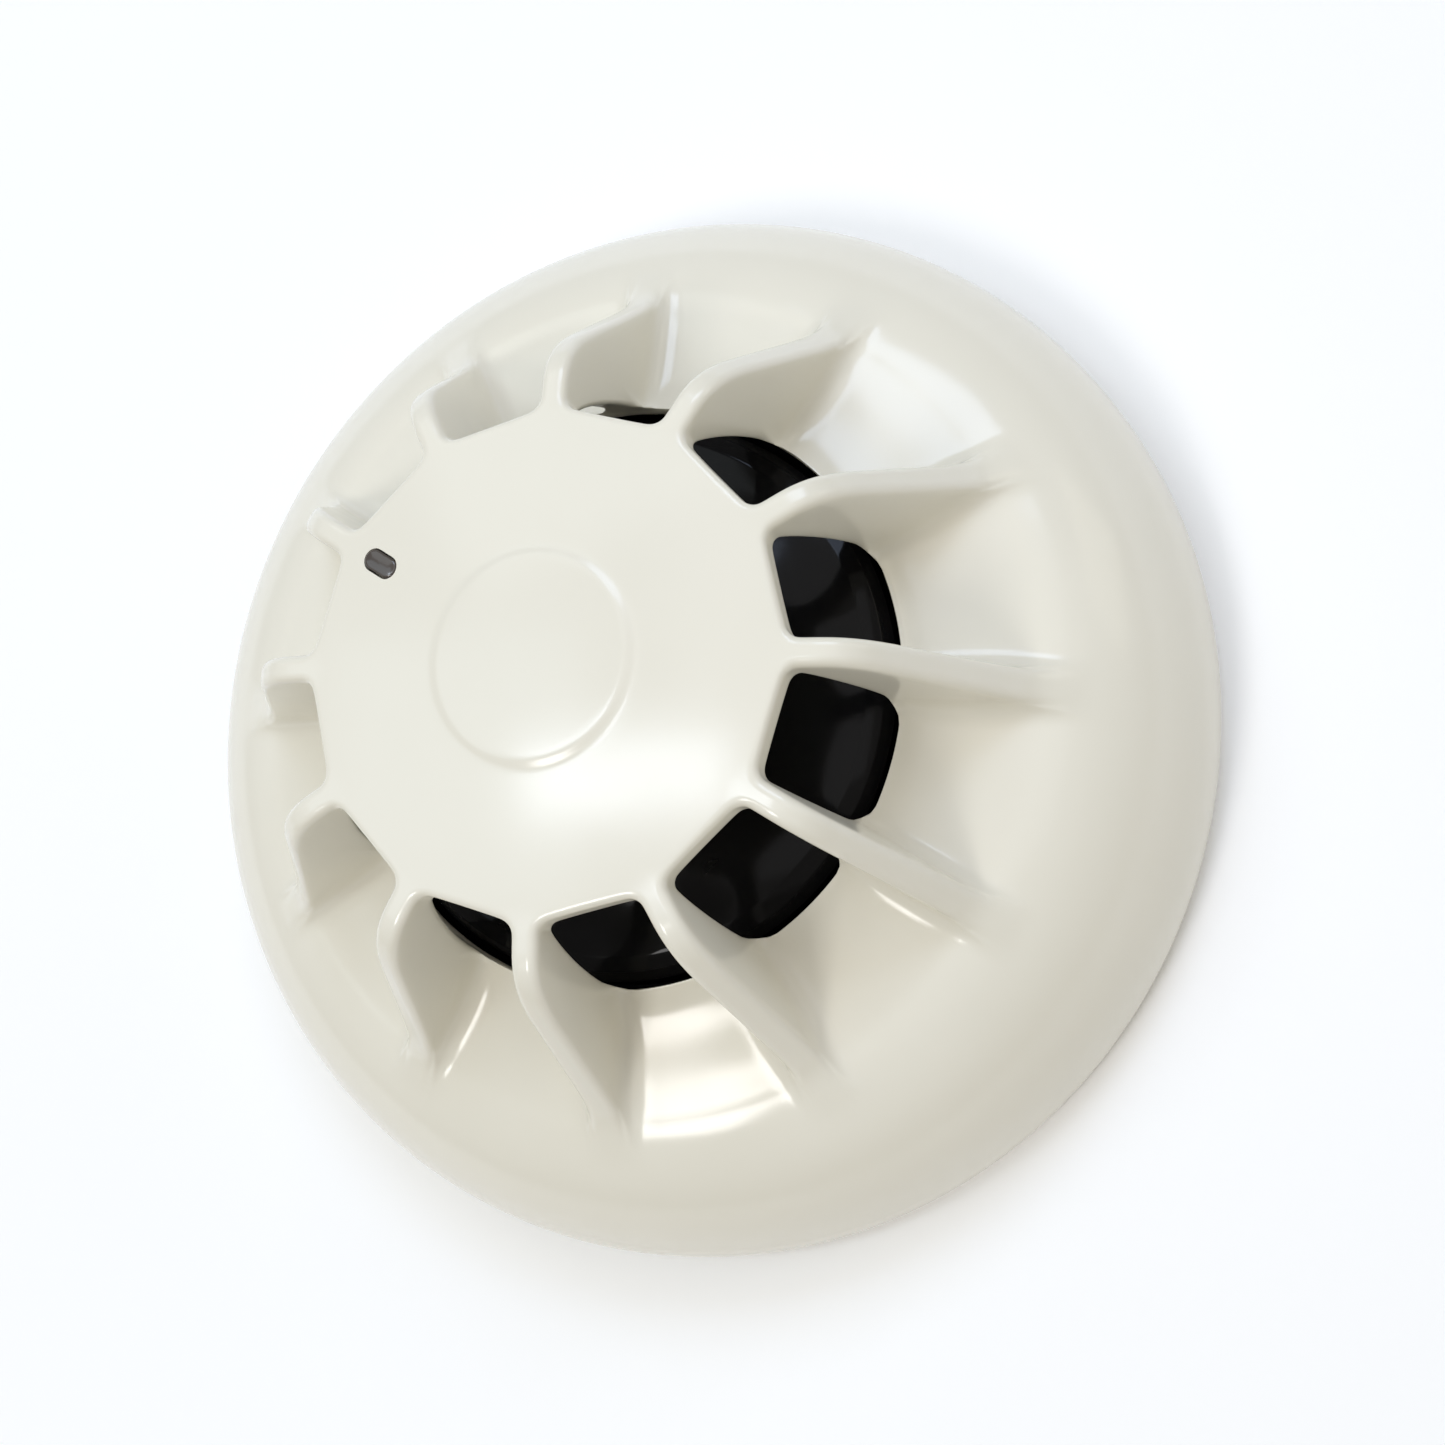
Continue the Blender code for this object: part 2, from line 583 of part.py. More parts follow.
board_screw = turned("board_screw_1", pan_screw(2.0, 15.3, Z_PARTS, 0.95, 10.3), 12,
                     ZINC, head_axis, closed=False)
x, y = polar(R_STANDOFF, 45.0)
board_screw.location = (x * MM, y * MM, 0)
twin = board_screw.copy()
twin.name = "board_screw_2"
twin.location = (-x * MM, -y * MM, 0)
PARTS.objects.link(twin)

# ================================================================ mounting base
fixing_slots = []
for az, r, length, lie in ((45.0, 30.0, 9.0, 0.0), (225.0, 30.0, 9.0, 0.0),
                           (135.0, 25.0, 7.0, 90.0), (315.0, 25.0, 7.0, 90.0)):
    cx, cy = polar(r, az)
    fixing_slots.append(slot_outline(cx, cy, length, 4.6, lie))
mounting_base = plate("mounting_base", [circle(0, 0, R_BASE, 64), circle(0, 0, R_CABLE, 28)]
                      + fixing_slots, 0.0, BASE_THICK, BASE_PLASTIC, base_frame)
ring_wall = as_cutter(plate("ring_wall", [circle(0, 0, 39.2, 48), circle(0, 0, 37.4, 48)],
                            BASE_THICK - 0.5, Z_RING))
locating_rim = as_cutter(plate("locating_rim", [circle(0, 0, 47.0, 48), circle(0, 0, 45.6, 48)],
                               BASE_THICK - 0.6, 4.2))
collar = as_cutter(plate("cable_collar", [circle(0, 0, 13.2, 28), circle(0, 0, 11.8, 28)],
                         BASE_THICK - 0.4, 3.6))
pad_ob = block("pad", 26.0, 0, 15.2, 9.2, BASE_THICK - 0.7, Z_PAD, coll=CUTTERS)
pads = spread(pad_ob, TERMINAL_AZ, "pads")
ledge_ob = plate("ledge", [sector(35.0, 38.3, -LEDGE_HALF, LEDGE_HALF, 3)], 6.2, Z_RING - 0.05,
                 coll=CUTTERS)
ledges = spread(ledge_ob, LUG_AZ, "ledges")
stop_ob = plate("stop", [sector(35.05, 38.3, -LUG_HALF - 3.2, -LUG_HALF - 0.6, 1)],
                BASE_THICK - 0.7, Z_RING - 0.1, coll=CUTTERS)
stops = spread(stop_ob, LUG_AZ, "lock_stops")
free_ob = plate("free_stop", [sector(35.05, 38.3, LUG_HALF + TWIST + 0.6, LUG_HALF + TWIST + 3.2, 1)],
                BASE_THICK - 0.7, Z_RING - 0.1, coll=CUTTERS)
free_stops = spread(free_ob, LUG_AZ, "free_stops")
thread_ob = rod("terminal_thread", R_TERMINAL, 0, 2.0, 0.5, Z_PAD + 2.0, 12)
threads = spread(thread_ob, TERMINAL_AZ, "terminal_threads")
for piece in (ring_wall, locating_rim, collar, pads, ledges, stops, free_stops):
    boolean(mounting_base, 'UNION', piece)
boolean(mounting_base, 'DIFFERENCE', threads)

# ================================================================ terminals and contacts
arm = [(18.7, 3.95), (26.2, 3.95), (27.4, 4.1), (28.4, 4.55), (29.3, 4.9), (30.2, 4.9),
       (31.0, 4.6), (31.8, 4.1)]
contact_spring = plate("contact_spring_1", [strip_outline(arm, 0.5)], -3.1, 3.1, BRASS,
                       base_frame, upright=True)
repeat(contact_spring, ["contact_spring_%d" % i for i in (1, 2, 3, 4)], TERMINAL_AZ)
for i, az in enumerate(TERMINAL_AZ):
    hole = rod("spring_hole_%d" % (i + 1), *polar(R_TERMINAL, az), 2.0, 2.0, 6.0, 12)
    spring = bpy.data.objects["contact_spring_%d" % (i + 1)]
    spring.data = spring.data.copy()
    boolean(spring, 'DIFFERENCE', hole)

for i, az in enumerate(TERMINAL_AZ):
    x, y = polar(R_TERMINAL, az)
    axis = empty("terminal_axis_%d" % (i + 1), (x, y, 0), base_frame)
    axis.rotation_euler.z = math.radians(az)
    clamp = plate("clamp_plate_%d" % (i + 1),
                  [[(-3.3, -2.9), (-2.8, -3.4), (2.8, -3.4), (3.3, -2.9), (3.3, 2.9), (2.8, 3.4),
                    (-2.8, 3.4), (-3.3, 2.9)], circle(0, 0, 2.0, 12)],
                  4.5, 5.3, BRASS, axis)
    screw = turned("terminal_screw_%d" % (i + 1), pan_screw(2.7, 7.2, 5.6, 1.6, 0.9), 14, ZINC,
                   axis, closed=False)
    recess = cross_recess("recess_%d" % (i + 1), x, y, 6.5, 8.0, 3.2, 0.9)
    boolean(screw, 'DIFFERENCE', recess)
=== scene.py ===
# Looks of the heat detector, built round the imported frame.  Metres, +Z up.
# Lengths below are millimetres and are scaled by MM where meshes are made.

import bpy
import bmesh
import math
from mathutils import Matrix, Vector
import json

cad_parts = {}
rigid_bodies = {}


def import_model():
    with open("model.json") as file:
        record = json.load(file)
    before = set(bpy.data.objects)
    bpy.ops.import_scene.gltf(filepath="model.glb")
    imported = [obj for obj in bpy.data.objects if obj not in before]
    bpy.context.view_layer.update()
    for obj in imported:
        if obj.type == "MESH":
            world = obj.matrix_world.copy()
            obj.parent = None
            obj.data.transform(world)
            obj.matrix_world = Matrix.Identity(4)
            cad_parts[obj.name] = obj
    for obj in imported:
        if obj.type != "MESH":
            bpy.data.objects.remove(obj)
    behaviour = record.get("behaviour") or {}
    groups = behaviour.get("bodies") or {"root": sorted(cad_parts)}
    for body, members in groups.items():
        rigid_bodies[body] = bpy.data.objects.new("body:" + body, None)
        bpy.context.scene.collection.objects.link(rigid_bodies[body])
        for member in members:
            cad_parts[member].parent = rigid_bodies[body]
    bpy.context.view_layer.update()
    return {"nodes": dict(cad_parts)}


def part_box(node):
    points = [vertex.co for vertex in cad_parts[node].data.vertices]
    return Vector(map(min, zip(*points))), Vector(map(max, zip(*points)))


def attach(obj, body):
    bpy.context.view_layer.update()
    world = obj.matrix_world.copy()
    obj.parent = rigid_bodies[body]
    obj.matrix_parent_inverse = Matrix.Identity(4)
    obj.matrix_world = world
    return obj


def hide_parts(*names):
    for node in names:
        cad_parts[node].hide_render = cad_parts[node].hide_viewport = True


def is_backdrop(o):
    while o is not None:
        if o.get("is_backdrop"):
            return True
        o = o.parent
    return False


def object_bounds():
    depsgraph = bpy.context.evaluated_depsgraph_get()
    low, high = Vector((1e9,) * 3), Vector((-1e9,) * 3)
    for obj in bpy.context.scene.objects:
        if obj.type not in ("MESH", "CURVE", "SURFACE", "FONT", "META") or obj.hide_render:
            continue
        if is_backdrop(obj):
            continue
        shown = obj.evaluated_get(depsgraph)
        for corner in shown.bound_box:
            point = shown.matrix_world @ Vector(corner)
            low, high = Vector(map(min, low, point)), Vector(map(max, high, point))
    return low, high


MM = 0.001

for old in list(bpy.data.objects):
    bpy.data.objects.remove(old, do_unlink=True)

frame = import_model()
NODES = frame["nodes"]
SCENE = bpy.context.scene


def top_of(node):
    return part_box(node)[1]


# sizes come from the frame wherever a node gives them
R_HEAD = round(-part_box("outer_cover")[0].x / MM, 1)
Z_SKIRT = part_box("outer_cover")[0].z / MM
R_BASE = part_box("mounting_base")[1].x / MM
Z_FACE = 37.3
FACE_RISE = 1.5
R_FACE = 21.3
BADGE_RISE = 0.25
Z_SOFFIT = 35.0
N_RIBS = 12
RIB_PHASE = 15.0
HALF = math.pi / N_RIBS
R_SILL = 26.0
WALL = 1.8
R_CROWN, Z_CROWN, Z_WAIST = 34.9, 18.6, 2.2
LED_LO, LED_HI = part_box("light_pipe")
R_LED = math.hypot((LED_LO.x + LED_HI.x) / 2, (LED_LO.y + LED_HI.y) / 2) / MM
AZ_LED = math.degrees(math.atan2((LED_LO.y + LED_HI.y) / 2, (LED_LO.x + LED_HI.x) / 2))
PILL_LONG, PILL_WIDE, PILL_GAP = 3.3, 1.75, 0.14


# ------------------------------------------------------------------ small maths
def lerp(a, b, t):
    return a + (b - a) * t


def ease(x):
    x = min(max(x, 0.0), 1.0)
    return x * x * (3 - 2 * x)


def polar(r, az):
    a = math.radians(az)
    return (r * math.cos(a), r * math.sin(a))


def table(pairs, x):
    """Smooth monotone reading of a table of (x, y)."""
    xs = [p[0] for p in pairs]
    ys = [p[1] for p in pairs]
    if x <= xs[0]:
        return ys[0]
    if x >= xs[-1]:
        return ys[-1]
    n = len(xs)
    d = [(ys[i + 1] - ys[i]) / (xs[i + 1] - xs[i]) for i in range(n - 1)]
    m = [d[0]] + [0.0 if d[i - 1] * d[i] <= 0 else 2 * d[i - 1] * d[i] / (d[i - 1] + d[i])
                  for i in range(1, n - 1)] + [d[-1]]
    for i in range(n - 1):
        if x <= xs[i + 1]:
            h = xs[i + 1] - xs[i]
            t = (x - xs[i]) / h
            return ((2 * t ** 3 - 3 * t ** 2 + 1) * ys[i] + (t ** 3 - 2 * t ** 2 + t) * h * m[i]
                    + (-2 * t ** 3 + 3 * t ** 2) * ys[i + 1] + (t ** 3 - t ** 2) * h * m[i + 1])
    return ys[-1]


# ------------------------------------------------------------------ mesh helpers
def link(ob, mat=None):
    SCENE.collection.objects.link(ob)
    if mat is not None:
        ob.data.materials.clear()
        ob.data.materials.append(mat)
    return ob


def shade(mesh, angle=35.0):
    mesh.shade_smooth()
    mesh.set_sharp_from_angle(angle=math.radians(angle))


def tidy(mesh, dist=0.000001):
    bm = bmesh.new()
    bm.from_mesh(mesh)
    bmesh.ops.remove_doubles(bm, verts=bm.verts, dist=dist)
    bmesh.ops.recalc_face_normals(bm, faces=bm.faces)
    bm.to_mesh(mesh)
    bm.free()


def settle(ob, angle=35.0):
    """Apply every modifier of an object and keep it where it is."""
    bpy.context.view_layer.update()
    deps = bpy.context.evaluated_depsgraph_get()
    mesh = bpy.data.meshes.new_from_object(ob.evaluated_get(deps))
    mesh.name = ob.name
    mesh.transform(ob.matrix_world)
    mats = [m for m in ob.data.materials]
    ob.modifiers.clear()
    ob.data = mesh
    ob.matrix_world = Matrix.Identity(4)
    mesh.materials.clear()
    for m in mats:
        mesh.materials.append(m)
    shade(mesh, angle)
    return ob


def boolean(target, operation, operand, solver='MANIFOLD'):
    mod = target.modifiers.new(operation.lower(), 'BOOLEAN')
    mod.operation = operation
    mod.object = operand
    mod.solver = solver
    return mod


def drop(*obs):
    for ob in obs:
        bpy.data.objects.remove(ob, do_unlink=True)


def turned(name, profile, steps, mat=None, closed=True, at=(0, 0, 0)):
    """A turned solid; the profile runs down its outer side, top to bottom."""
    verts, faces = [], []
    cols = []
    for r, z in profile:
        if r < 1e-6:
            cols.append([len(verts)] * steps)
            verts.append((at[0] * MM, at[1] * MM, z * MM))
        else:
            base = len(verts)
            cols.append([base + i for i in range(steps)])
            for i in range(steps):
                a = 2 * math.pi * i / steps
                verts.append(((at[0] + r * math.cos(a)) * MM, (at[1] + r * math.sin(a)) * MM, z * MM))
    n = len(profile)
    for k in range(n if closed else n - 1):
        c0, c1 = cols[k], cols[(k + 1) % n]
        for i in range(steps):
            j = (i + 1) % steps
            f = []
            for v in (c0[i], c1[i], c1[j], c0[j]):
                if v not in f:
                    f.append(v)
            if len(f) > 2:
                faces.append(f)
    mesh = bpy.data.meshes.new(name)
    mesh.from_pydata(verts, [], faces)
    tidy(mesh)
    shade(mesh)
    return link(bpy.data.objects.new(name, mesh), mat)


def rounded(profile, radius, n=4, closed=True):
    """A profile whose corners are rounded; radius is a number or one per corner."""
    out = []
    m = len(profile)
    for i, (x, y) in enumerate(profile):
        r = radius[i] if isinstance(radius, (list, tuple)) else radius
        if not closed and i in (0, m - 1):
            out.append((x, y))
            continue
        px, py = profile[(i - 1) % m]
        qx, qy = profile[(i + 1) % m]
        a, b = (px - x, py - y), (qx - x, qy - y)
        la, lb = math.hypot(*a), math.hypot(*b)
        if r <= 0 or la < 1e-9 or lb < 1e-9:
            out.append((x, y))
            continue
        cosv = max(-1.0, min(1.0, (a[0] * b[0] + a[1] * b[1]) / la / lb))
        half = math.acos(cosv) / 2
        if half > math.radians(86):
            out.append((x, y))
            continue
        cut = min(r / math.tan(half), la * 0.48, lb * 0.48)
        s = (x + a[0] / la * cut, y + a[1] / la * cut)
        e = (x + b[0] / lb * cut, y + b[1] / lb * cut)
        for k in range(n + 1):
            t = k / n
            out.append(((1 - t) ** 2 * s[0] + 2 * t * (1 - t) * x + t * t * e[0],
                        (1 - t) ** 2 * s[1] + 2 * t * (1 - t) * y + t * t * e[1]))
    return out


def plate(name, loops, z0, z1, mat=None, upright=False, round_edge=0.0):
    """A flat outline with holes, thickened from z0 to z1, with rounded edges."""
    cu = bpy.data.curves.new(name, 'CURVE')
    cu.dimensions = '2D'
    cu.fill_mode = 'BOTH'
    cu.extrude = (z1 - z0) / 2 * MM - round_edge * MM
    cu.bevel_depth = round_edge * MM
    cu.bevel_resolution = 2
    cu.offset = -round_edge * MM
    for loop in loops:
        sp = cu.splines.new('POLY')
        sp.points.add(len(loop) - 1)
        for p, (x, y) in zip(sp.points, loop):
            p.co = (x * MM, y * MM, 0.0, 1.0)
        sp.use_cyclic_u = True
    ob = bpy.data.objects.new(name + "_outline", cu)
    SCENE.collection.objects.link(ob)
    if upright:
        ob.rotation_euler = (math.pi / 2, 0, 0)
        ob.location = (0, -(z0 + z1) / 2 * MM, 0)
    else:
        ob.location = (0, 0, (z0 + z1) / 2 * MM)
    bpy.context.view_layer.update()
    deps = bpy.context.evaluated_depsgraph_get()
    mesh = bpy.data.meshes.new_from_object(ob.evaluated_get(deps))
    mesh.name = name
    mesh.transform(ob.matrix_world)
    tidy(mesh, 0.000002)
    shade(mesh)
    bpy.data.objects.remove(ob, do_unlink=True)
    bpy.data.curves.remove(cu)
    return link(bpy.data.objects.new(name, mesh), mat)


def circle(cx, cy, r, n, phase=0.0):
    return [(cx + r * math.cos(2 * math.pi * i / n + phase),
             cy + r * math.sin(2 * math.pi * i / n + phase)) for i in range(n)]


def slot_outline(cx, cy, length, width, az, n=14):
    pts = []
    half = (length - width) / 2
    for side in (1, -1):
        for i in range(n + 1):
            a = math.radians(-90 + 180 * i / n) + (0 if side == 1 else math.pi)
            pts.append((side * half + width / 2 * math.cos(a), width / 2 * math.sin(a)))
    c, s = math.cos(math.radians(az)), math.sin(math.radians(az))
    return [(cx + x * c - y * s, cy + x * s + y * c) for x, y in pts]


def sector(r0, r1, a0, a1, n):
    outer = [polar(r1, a0 + (a1 - a0) * i / n) for i in range(n + 1)]
    inner = [polar(r0, a1 - (a1 - a0) * i / n) for i in range(n + 1)]
    return outer + inner


def spread(ob, azimuths, name):
    """Turned copies of one object joined into one operand."""
    bm = bmesh.new()
    for az in azimuths:
        part = bmesh.new()
        part.from_mesh(ob.data)
        part.transform(Matrix.Rotation(math.radians(az), 4, 'Z') @ ob.matrix_world)
        tmp = bpy.data.meshes.new("tmp")
        part.to_mesh(tmp)
        part.free()
        bm.from_mesh(tmp)
        bpy.data.meshes.remove(tmp)
    mesh = bpy.data.meshes.new(name)
    bm.to_mesh(mesh)
    bm.free()
    new = link(bpy.data.objects.new(name, mesh))
    bpy.data.objects.remove(ob, do_unlink=True)
    return new


# ------------------------------------------------------------------ materials
def shader(name, rough, metal=0.0, ior=1.5, coat=0.0, coat_rough=0.1, spec=0.5):
    mat = bpy.data.materials.new(name)
    mat.use_nodes = True
    bsdf = mat.node_tree.nodes["Principled BSDF"]
    bsdf.inputs["Roughness"].default_value = rough
    bsdf.inputs["Metallic"].default_value = metal
    bsdf.inputs["IOR"].default_value = ior
    bsdf.inputs["Coat Weight"].default_value = coat
    bsdf.inputs["Coat Roughness"].default_value = coat_rough
    bsdf.inputs["Specular IOR Level"].default_value = spec
    return mat, bsdf


def noise(mat, scale, detail=3.0, rough=0.55, stretch=(1, 1, 1)):
    nt = mat.node_tree
    co = nt.nodes.new("ShaderNodeTexCoord")
    mp = nt.nodes.new("ShaderNodeMapping")
    mp.inputs["Scale"].default_value = stretch
    tx = nt.nodes.new("ShaderNodeTexNoise")
    tx.inputs["Scale"].default_value = scale
    tx.inputs["Detail"].default_value = detail
    tx.inputs["Roughness"].default_value = rough
    nt.links.new(co.outputs["Object"], mp.inputs["Vector"])
    nt.links.new(mp.outputs["Vector"], tx.inputs["Vector"])
    return tx.outputs["Fac"]


def ramp(mat, fac, stops):
    nt = mat.node_tree
    rp = nt.nodes.new("ShaderNodeValToRGB")
    el = rp.color_ramp.elements
    el[0].position, el[0].color = stops[0][0], tuple(stops[0][1]) + (1.0,)
    el[1].position, el[1].color = stops[-1][0], tuple(stops[-1][1]) + (1.0,)
    for pos, col in stops[1:-1]:
        e = el.new(pos)
        e.color = tuple(col) + (1.0,)
    nt.links.new(fac, rp.inputs["Fac"])
    return rp.outputs["Color"]


def vary(mat, bsdf, low, high, scale=60.0, rough=None, rough_scale=180.0,
         bump=0.0, bump_scale=900.0, stretch=(1, 1, 1)):
    """Colour, roughness and fine relief of a surface, all from noise."""
    nt = mat.node_tree
    nt.links.new(ramp(mat, noise(mat, scale, 4.0, 0.55, stretch), [(0.32, low), (0.68, high)]),
                 bsdf.inputs["Base Color"])
    if rough is not None:
        mr = nt.nodes.new("ShaderNodeMapRange")
        mr.inputs["From Min"].default_value = 0.3
        mr.inputs["From Max"].default_value = 0.7
        mr.inputs["To Min"].default_value = rough[0]
        mr.inputs["To Max"].default_value = rough[1]
        nt.links.new(noise(mat, rough_scale, 3.0, 0.6, stretch), mr.inputs["Value"])
        nt.links.new(mr.outputs["Result"], bsdf.inputs["Roughness"])
    if bump > 0:
        bp = nt.nodes.new("ShaderNodeBump")
        bp.inputs["Strength"].default_value = bump
        bp.inputs["Distance"].default_value = 0.00002
        nt.links.new(noise(mat, bump_scale, 2.0, 0.5, stretch), bp.inputs["Height"])
        nt.links.new(bp.outputs["Normal"], bsdf.inputs["Normal"])
    return mat


def plastic(name, low, high, rough, bump=0.25, spec=0.5, coat=0.0, coat_rough=0.08):
    mat, bsdf = shader(name, (rough[0] + rough[1]) / 2, coat=coat, coat_rough=coat_rough, spec=spec)
    return vary(mat, bsdf, low, high, 45.0, rough, 140.0, bump, 1400.0)


def metal(name, low, high, rough, stretch=(1, 1, 1), bump=0.3):
    mat, bsdf = shader(name, (rough[0] + rough[1]) / 2, metal=1.0)
    return vary(mat, bsdf, low, high, 260.0, rough, 420.0, bump, 1800.0, stretch)


COVER = plastic("cover_gloss", (0.805, 0.774, 0.668), (0.821, 0.790, 0.686), (0.15, 0.19), 0.10,
                spec=0.5)
BASE_M = plastic("base_moulding", (0.74, 0.73, 0.67), (0.78, 0.77, 0.71), (0.38, 0.48), 0.5)
PLATE_M = plastic("plate_moulding", (0.70, 0.69, 0.63), (0.74, 0.73, 0.67), (0.40, 0.50), 0.5)
BLACK = plastic("shield_gloss", (0.0030, 0.0030, 0.0034), (0.0045, 0.0045, 0.0050), (0.07, 0.11), 0.05, spec=0.12)
SMOKED, SB = shader("smoked_lens", 0.12, coat=0.3, coat_rough=0.05)
vary(SMOKED, SB, (0.068, 0.056, 0.049), (0.082, 0.068, 0.060), 120.0, (0.10, 0.15), 200.0, 0.05, 1400.0)
BRASS = metal("sprung_brass", (0.70, 0.50, 0.22), (0.80, 0.62, 0.32), (0.24, 0.36), (1, 1, 4))
ZINC = metal("zinc_plate", (0.58, 0.59, 0.60), (0.70, 0.71, 0.73), (0.26, 0.38))
TIN = metal("tinned_wire", (0.62, 0.62, 0.63), (0.74, 0.74, 0.75), (0.22, 0.34), (1, 1, 6))
BEAD_M = plastic("bead_lacquer", (0.020, 0.020, 0.022), (0.035, 0.035, 0.038), (0.22, 0.32), 0.4)
CHIP = plastic("chip_body", (0.012, 0.012, 0.013), (0.022, 0.022, 0.024), (0.5, 0.62), 0.8)
RUBBER = plastic("rubber", (0.016, 0.016, 0.016), (0.026, 0.026, 0.026), (0.65, 0.8), 0.8, spec=0.3)
SAND = plastic("resistor_coat", (0.52, 0.40, 0.24), (0.60, 0.48, 0.31), (0.35, 0.5), 0.8)
FILM = plastic("film_case", (0.42, 0.045, 0.025), (0.50, 0.065, 0.040), (0.28, 0.38), 0.6)
BLUE = plastic("varistor_coat", (0.020, 0.090, 0.300), (0.030, 0.115, 0.350), (0.3, 0.45), 1.0)
LED_M = plastic("led_red", (0.42, 0.012, 0.012), (0.50, 0.022, 0.020), (0.10, 0.16), 0.1, coat=0.4)


def board_material():
    mat, bsdf = shader("board_green", 0.4, coat=0.25, coat_rough=0.2)
    nt = mat.node_tree
    co = nt.nodes.new("ShaderNodeTexCoord")
    vo = nt.nodes.new("ShaderNodeTexVoronoi")
    vo.distance = 'MANHATTAN'
    vo.feature = 'DISTANCE_TO_EDGE'
    vo.inputs["Scale"].default_value = 210.0
    nt.links.new(co.outputs["Object"], vo.inputs["Vector"])
    nt.links.new(ramp(mat, vo.outputs["Distance"],
                      [(0.0, (0.010, 0.095, 0.030)), (0.06, (0.016, 0.140, 0.048)),
                       (0.10, (0.012, 0.105, 0.034))]), bsdf.inputs["Base Color"])
    bp = nt.nodes.new("ShaderNodeBump")
    bp.inputs["Strength"].default_value = 0.3
    bp.inputs["Distance"].default_value = 0.00003
    nt.links.new(vo.outputs["Distance"], bp.inputs["Height"])
    nt.links.new(bp.outputs["Normal"], bsdf.inputs["Normal"])
    return mat


def sleeve_material():
    """Capacitor sleeve: dark, with a pale band down one side."""
    mat, bsdf = shader("capacitor_sleeve_film", 0.3)
    nt = mat.node_tree
    co = nt.nodes.new("ShaderNodeTexCoord")
    sep = nt.nodes.new("ShaderNodeSeparateXYZ")
    nt.links.new(co.outputs["Object"], sep.inputs["Vector"])
    mr = nt.nodes.new("ShaderNodeMapRange")
    mr.inputs["From Min"].default_value = -0.0144
    mr.inputs["From Max"].default_value = -0.0142
    nt.links.new(sep.outputs["X"], mr.inputs["Value"])
    nt.links.new(ramp(mat, mr.outputs["Result"], [(0.0, (0.45, 0.47, 0.50)), (1.0, (0.010, 0.014, 0.045))]),
                 bsdf.inputs["Base Color"])
    return mat


BOARD = board_material()
CAN = sleeve_material()


# ------------------------------------------------------------------ cover profiles
def shoulder(u, inset=0.0):
    a = math.radians(u)
    return (R_CROWN + (R_HEAD - R_CROWN - inset) * math.cos(a),
            Z_WAIST + (Z_CROWN - Z_WAIST - inset) * math.sin(a))


FLOOR = [(26.0, 21.45), (26.5, 21.0), (27.1, 20.58), (28.0, 20.15), (29.0, 19.85), (30.4, 19.55),
         (32.0, 19.3), (33.6, 19.07), (35.0, 18.82), (36.4, 18.50), (37.4, 18.28)]


def floor_z(r):
    """Height of the cover's outer surface away from the ribs."""
    if r <= 37.4:
        return table(FLOOR, r)
    c = min(1.0, (r - R_CROWN) / (R_HEAD - R_CROWN))
    return Z_WAIST + (Z_CROWN - Z_WAIST) * math.sqrt(max(0.0, 1 - c * c))


def face_z(r):
    if r <= 20.5:
        return Z_FACE + FACE_RISE * (1 - (r / R_FACE) ** 2)
    z = Z_FACE + FACE_RISE * (1 - (20.5 / R_FACE) ** 2)
    return z - 0.075 * (r - 20.5)


CREST = [(22.24, face_z(22.24)), (23.1, 37.20), (24.0, 37.12), (24.9, 36.90), (25.8, 36.50),
         (26.6, 35.97), (27.4, 35.22), (28.1, 34.38), (28.8, 33.35), (29.4, 32.33),
         (30.1, 31.12), (30.9, 29.74), (31.8, 28.18), (32.8, 26.45), (33.8, 24.72),
         (34.7, 23.17), (35.5, 21.85), (36.2, 20.82), (36.9, 19.98), (37.7, 19.28),
         (38.6, 18.70), (39.6, 18.10), (40.7, 17.42)]
INNER_EDGE = [(21.75, 34.1), (22.35, 33.0), (22.95, 31.7), (23.5, 30.35), (24.0, 29.0),
              (24.45, 27.6), (24.85, 26.2), (25.2, 24.8), (25.5, 23.5)]
I_SILL = 9
FLOOR_R = [26.06, 26.5, 27.3, 28.6, 30.2, 31.9, 33.5, 34.9, 36.0, 36.9, 37.7, 38.6, 39.6, 40.7]
NC, NW, NF = 3, 9, 5
CREST_ROUND = 0.72
RIB_HALF = 1.2
BASE_ROUND = 2.0
FILLET_S, FILLET_T, FILLET_R = 22.24, 2.60, 1.40
DRAFT = 0.25
# rows of the crest's round and of the base's fillet, as shares of their radii
ROUND = [(1.0, 0.0), (0.5, 0.134), (0.134, 0.5), (0.0, 1.0)]
FILLET = [(0.0, 1.0), (0.10, 0.56), (0.31, 0.26), (0.62, 0.07), (1.0, 0.0)]


def wall_t(z):
    return 1.2 + DRAFT * max(0.0, min(1.0, (37.3 - z) / 17.0))


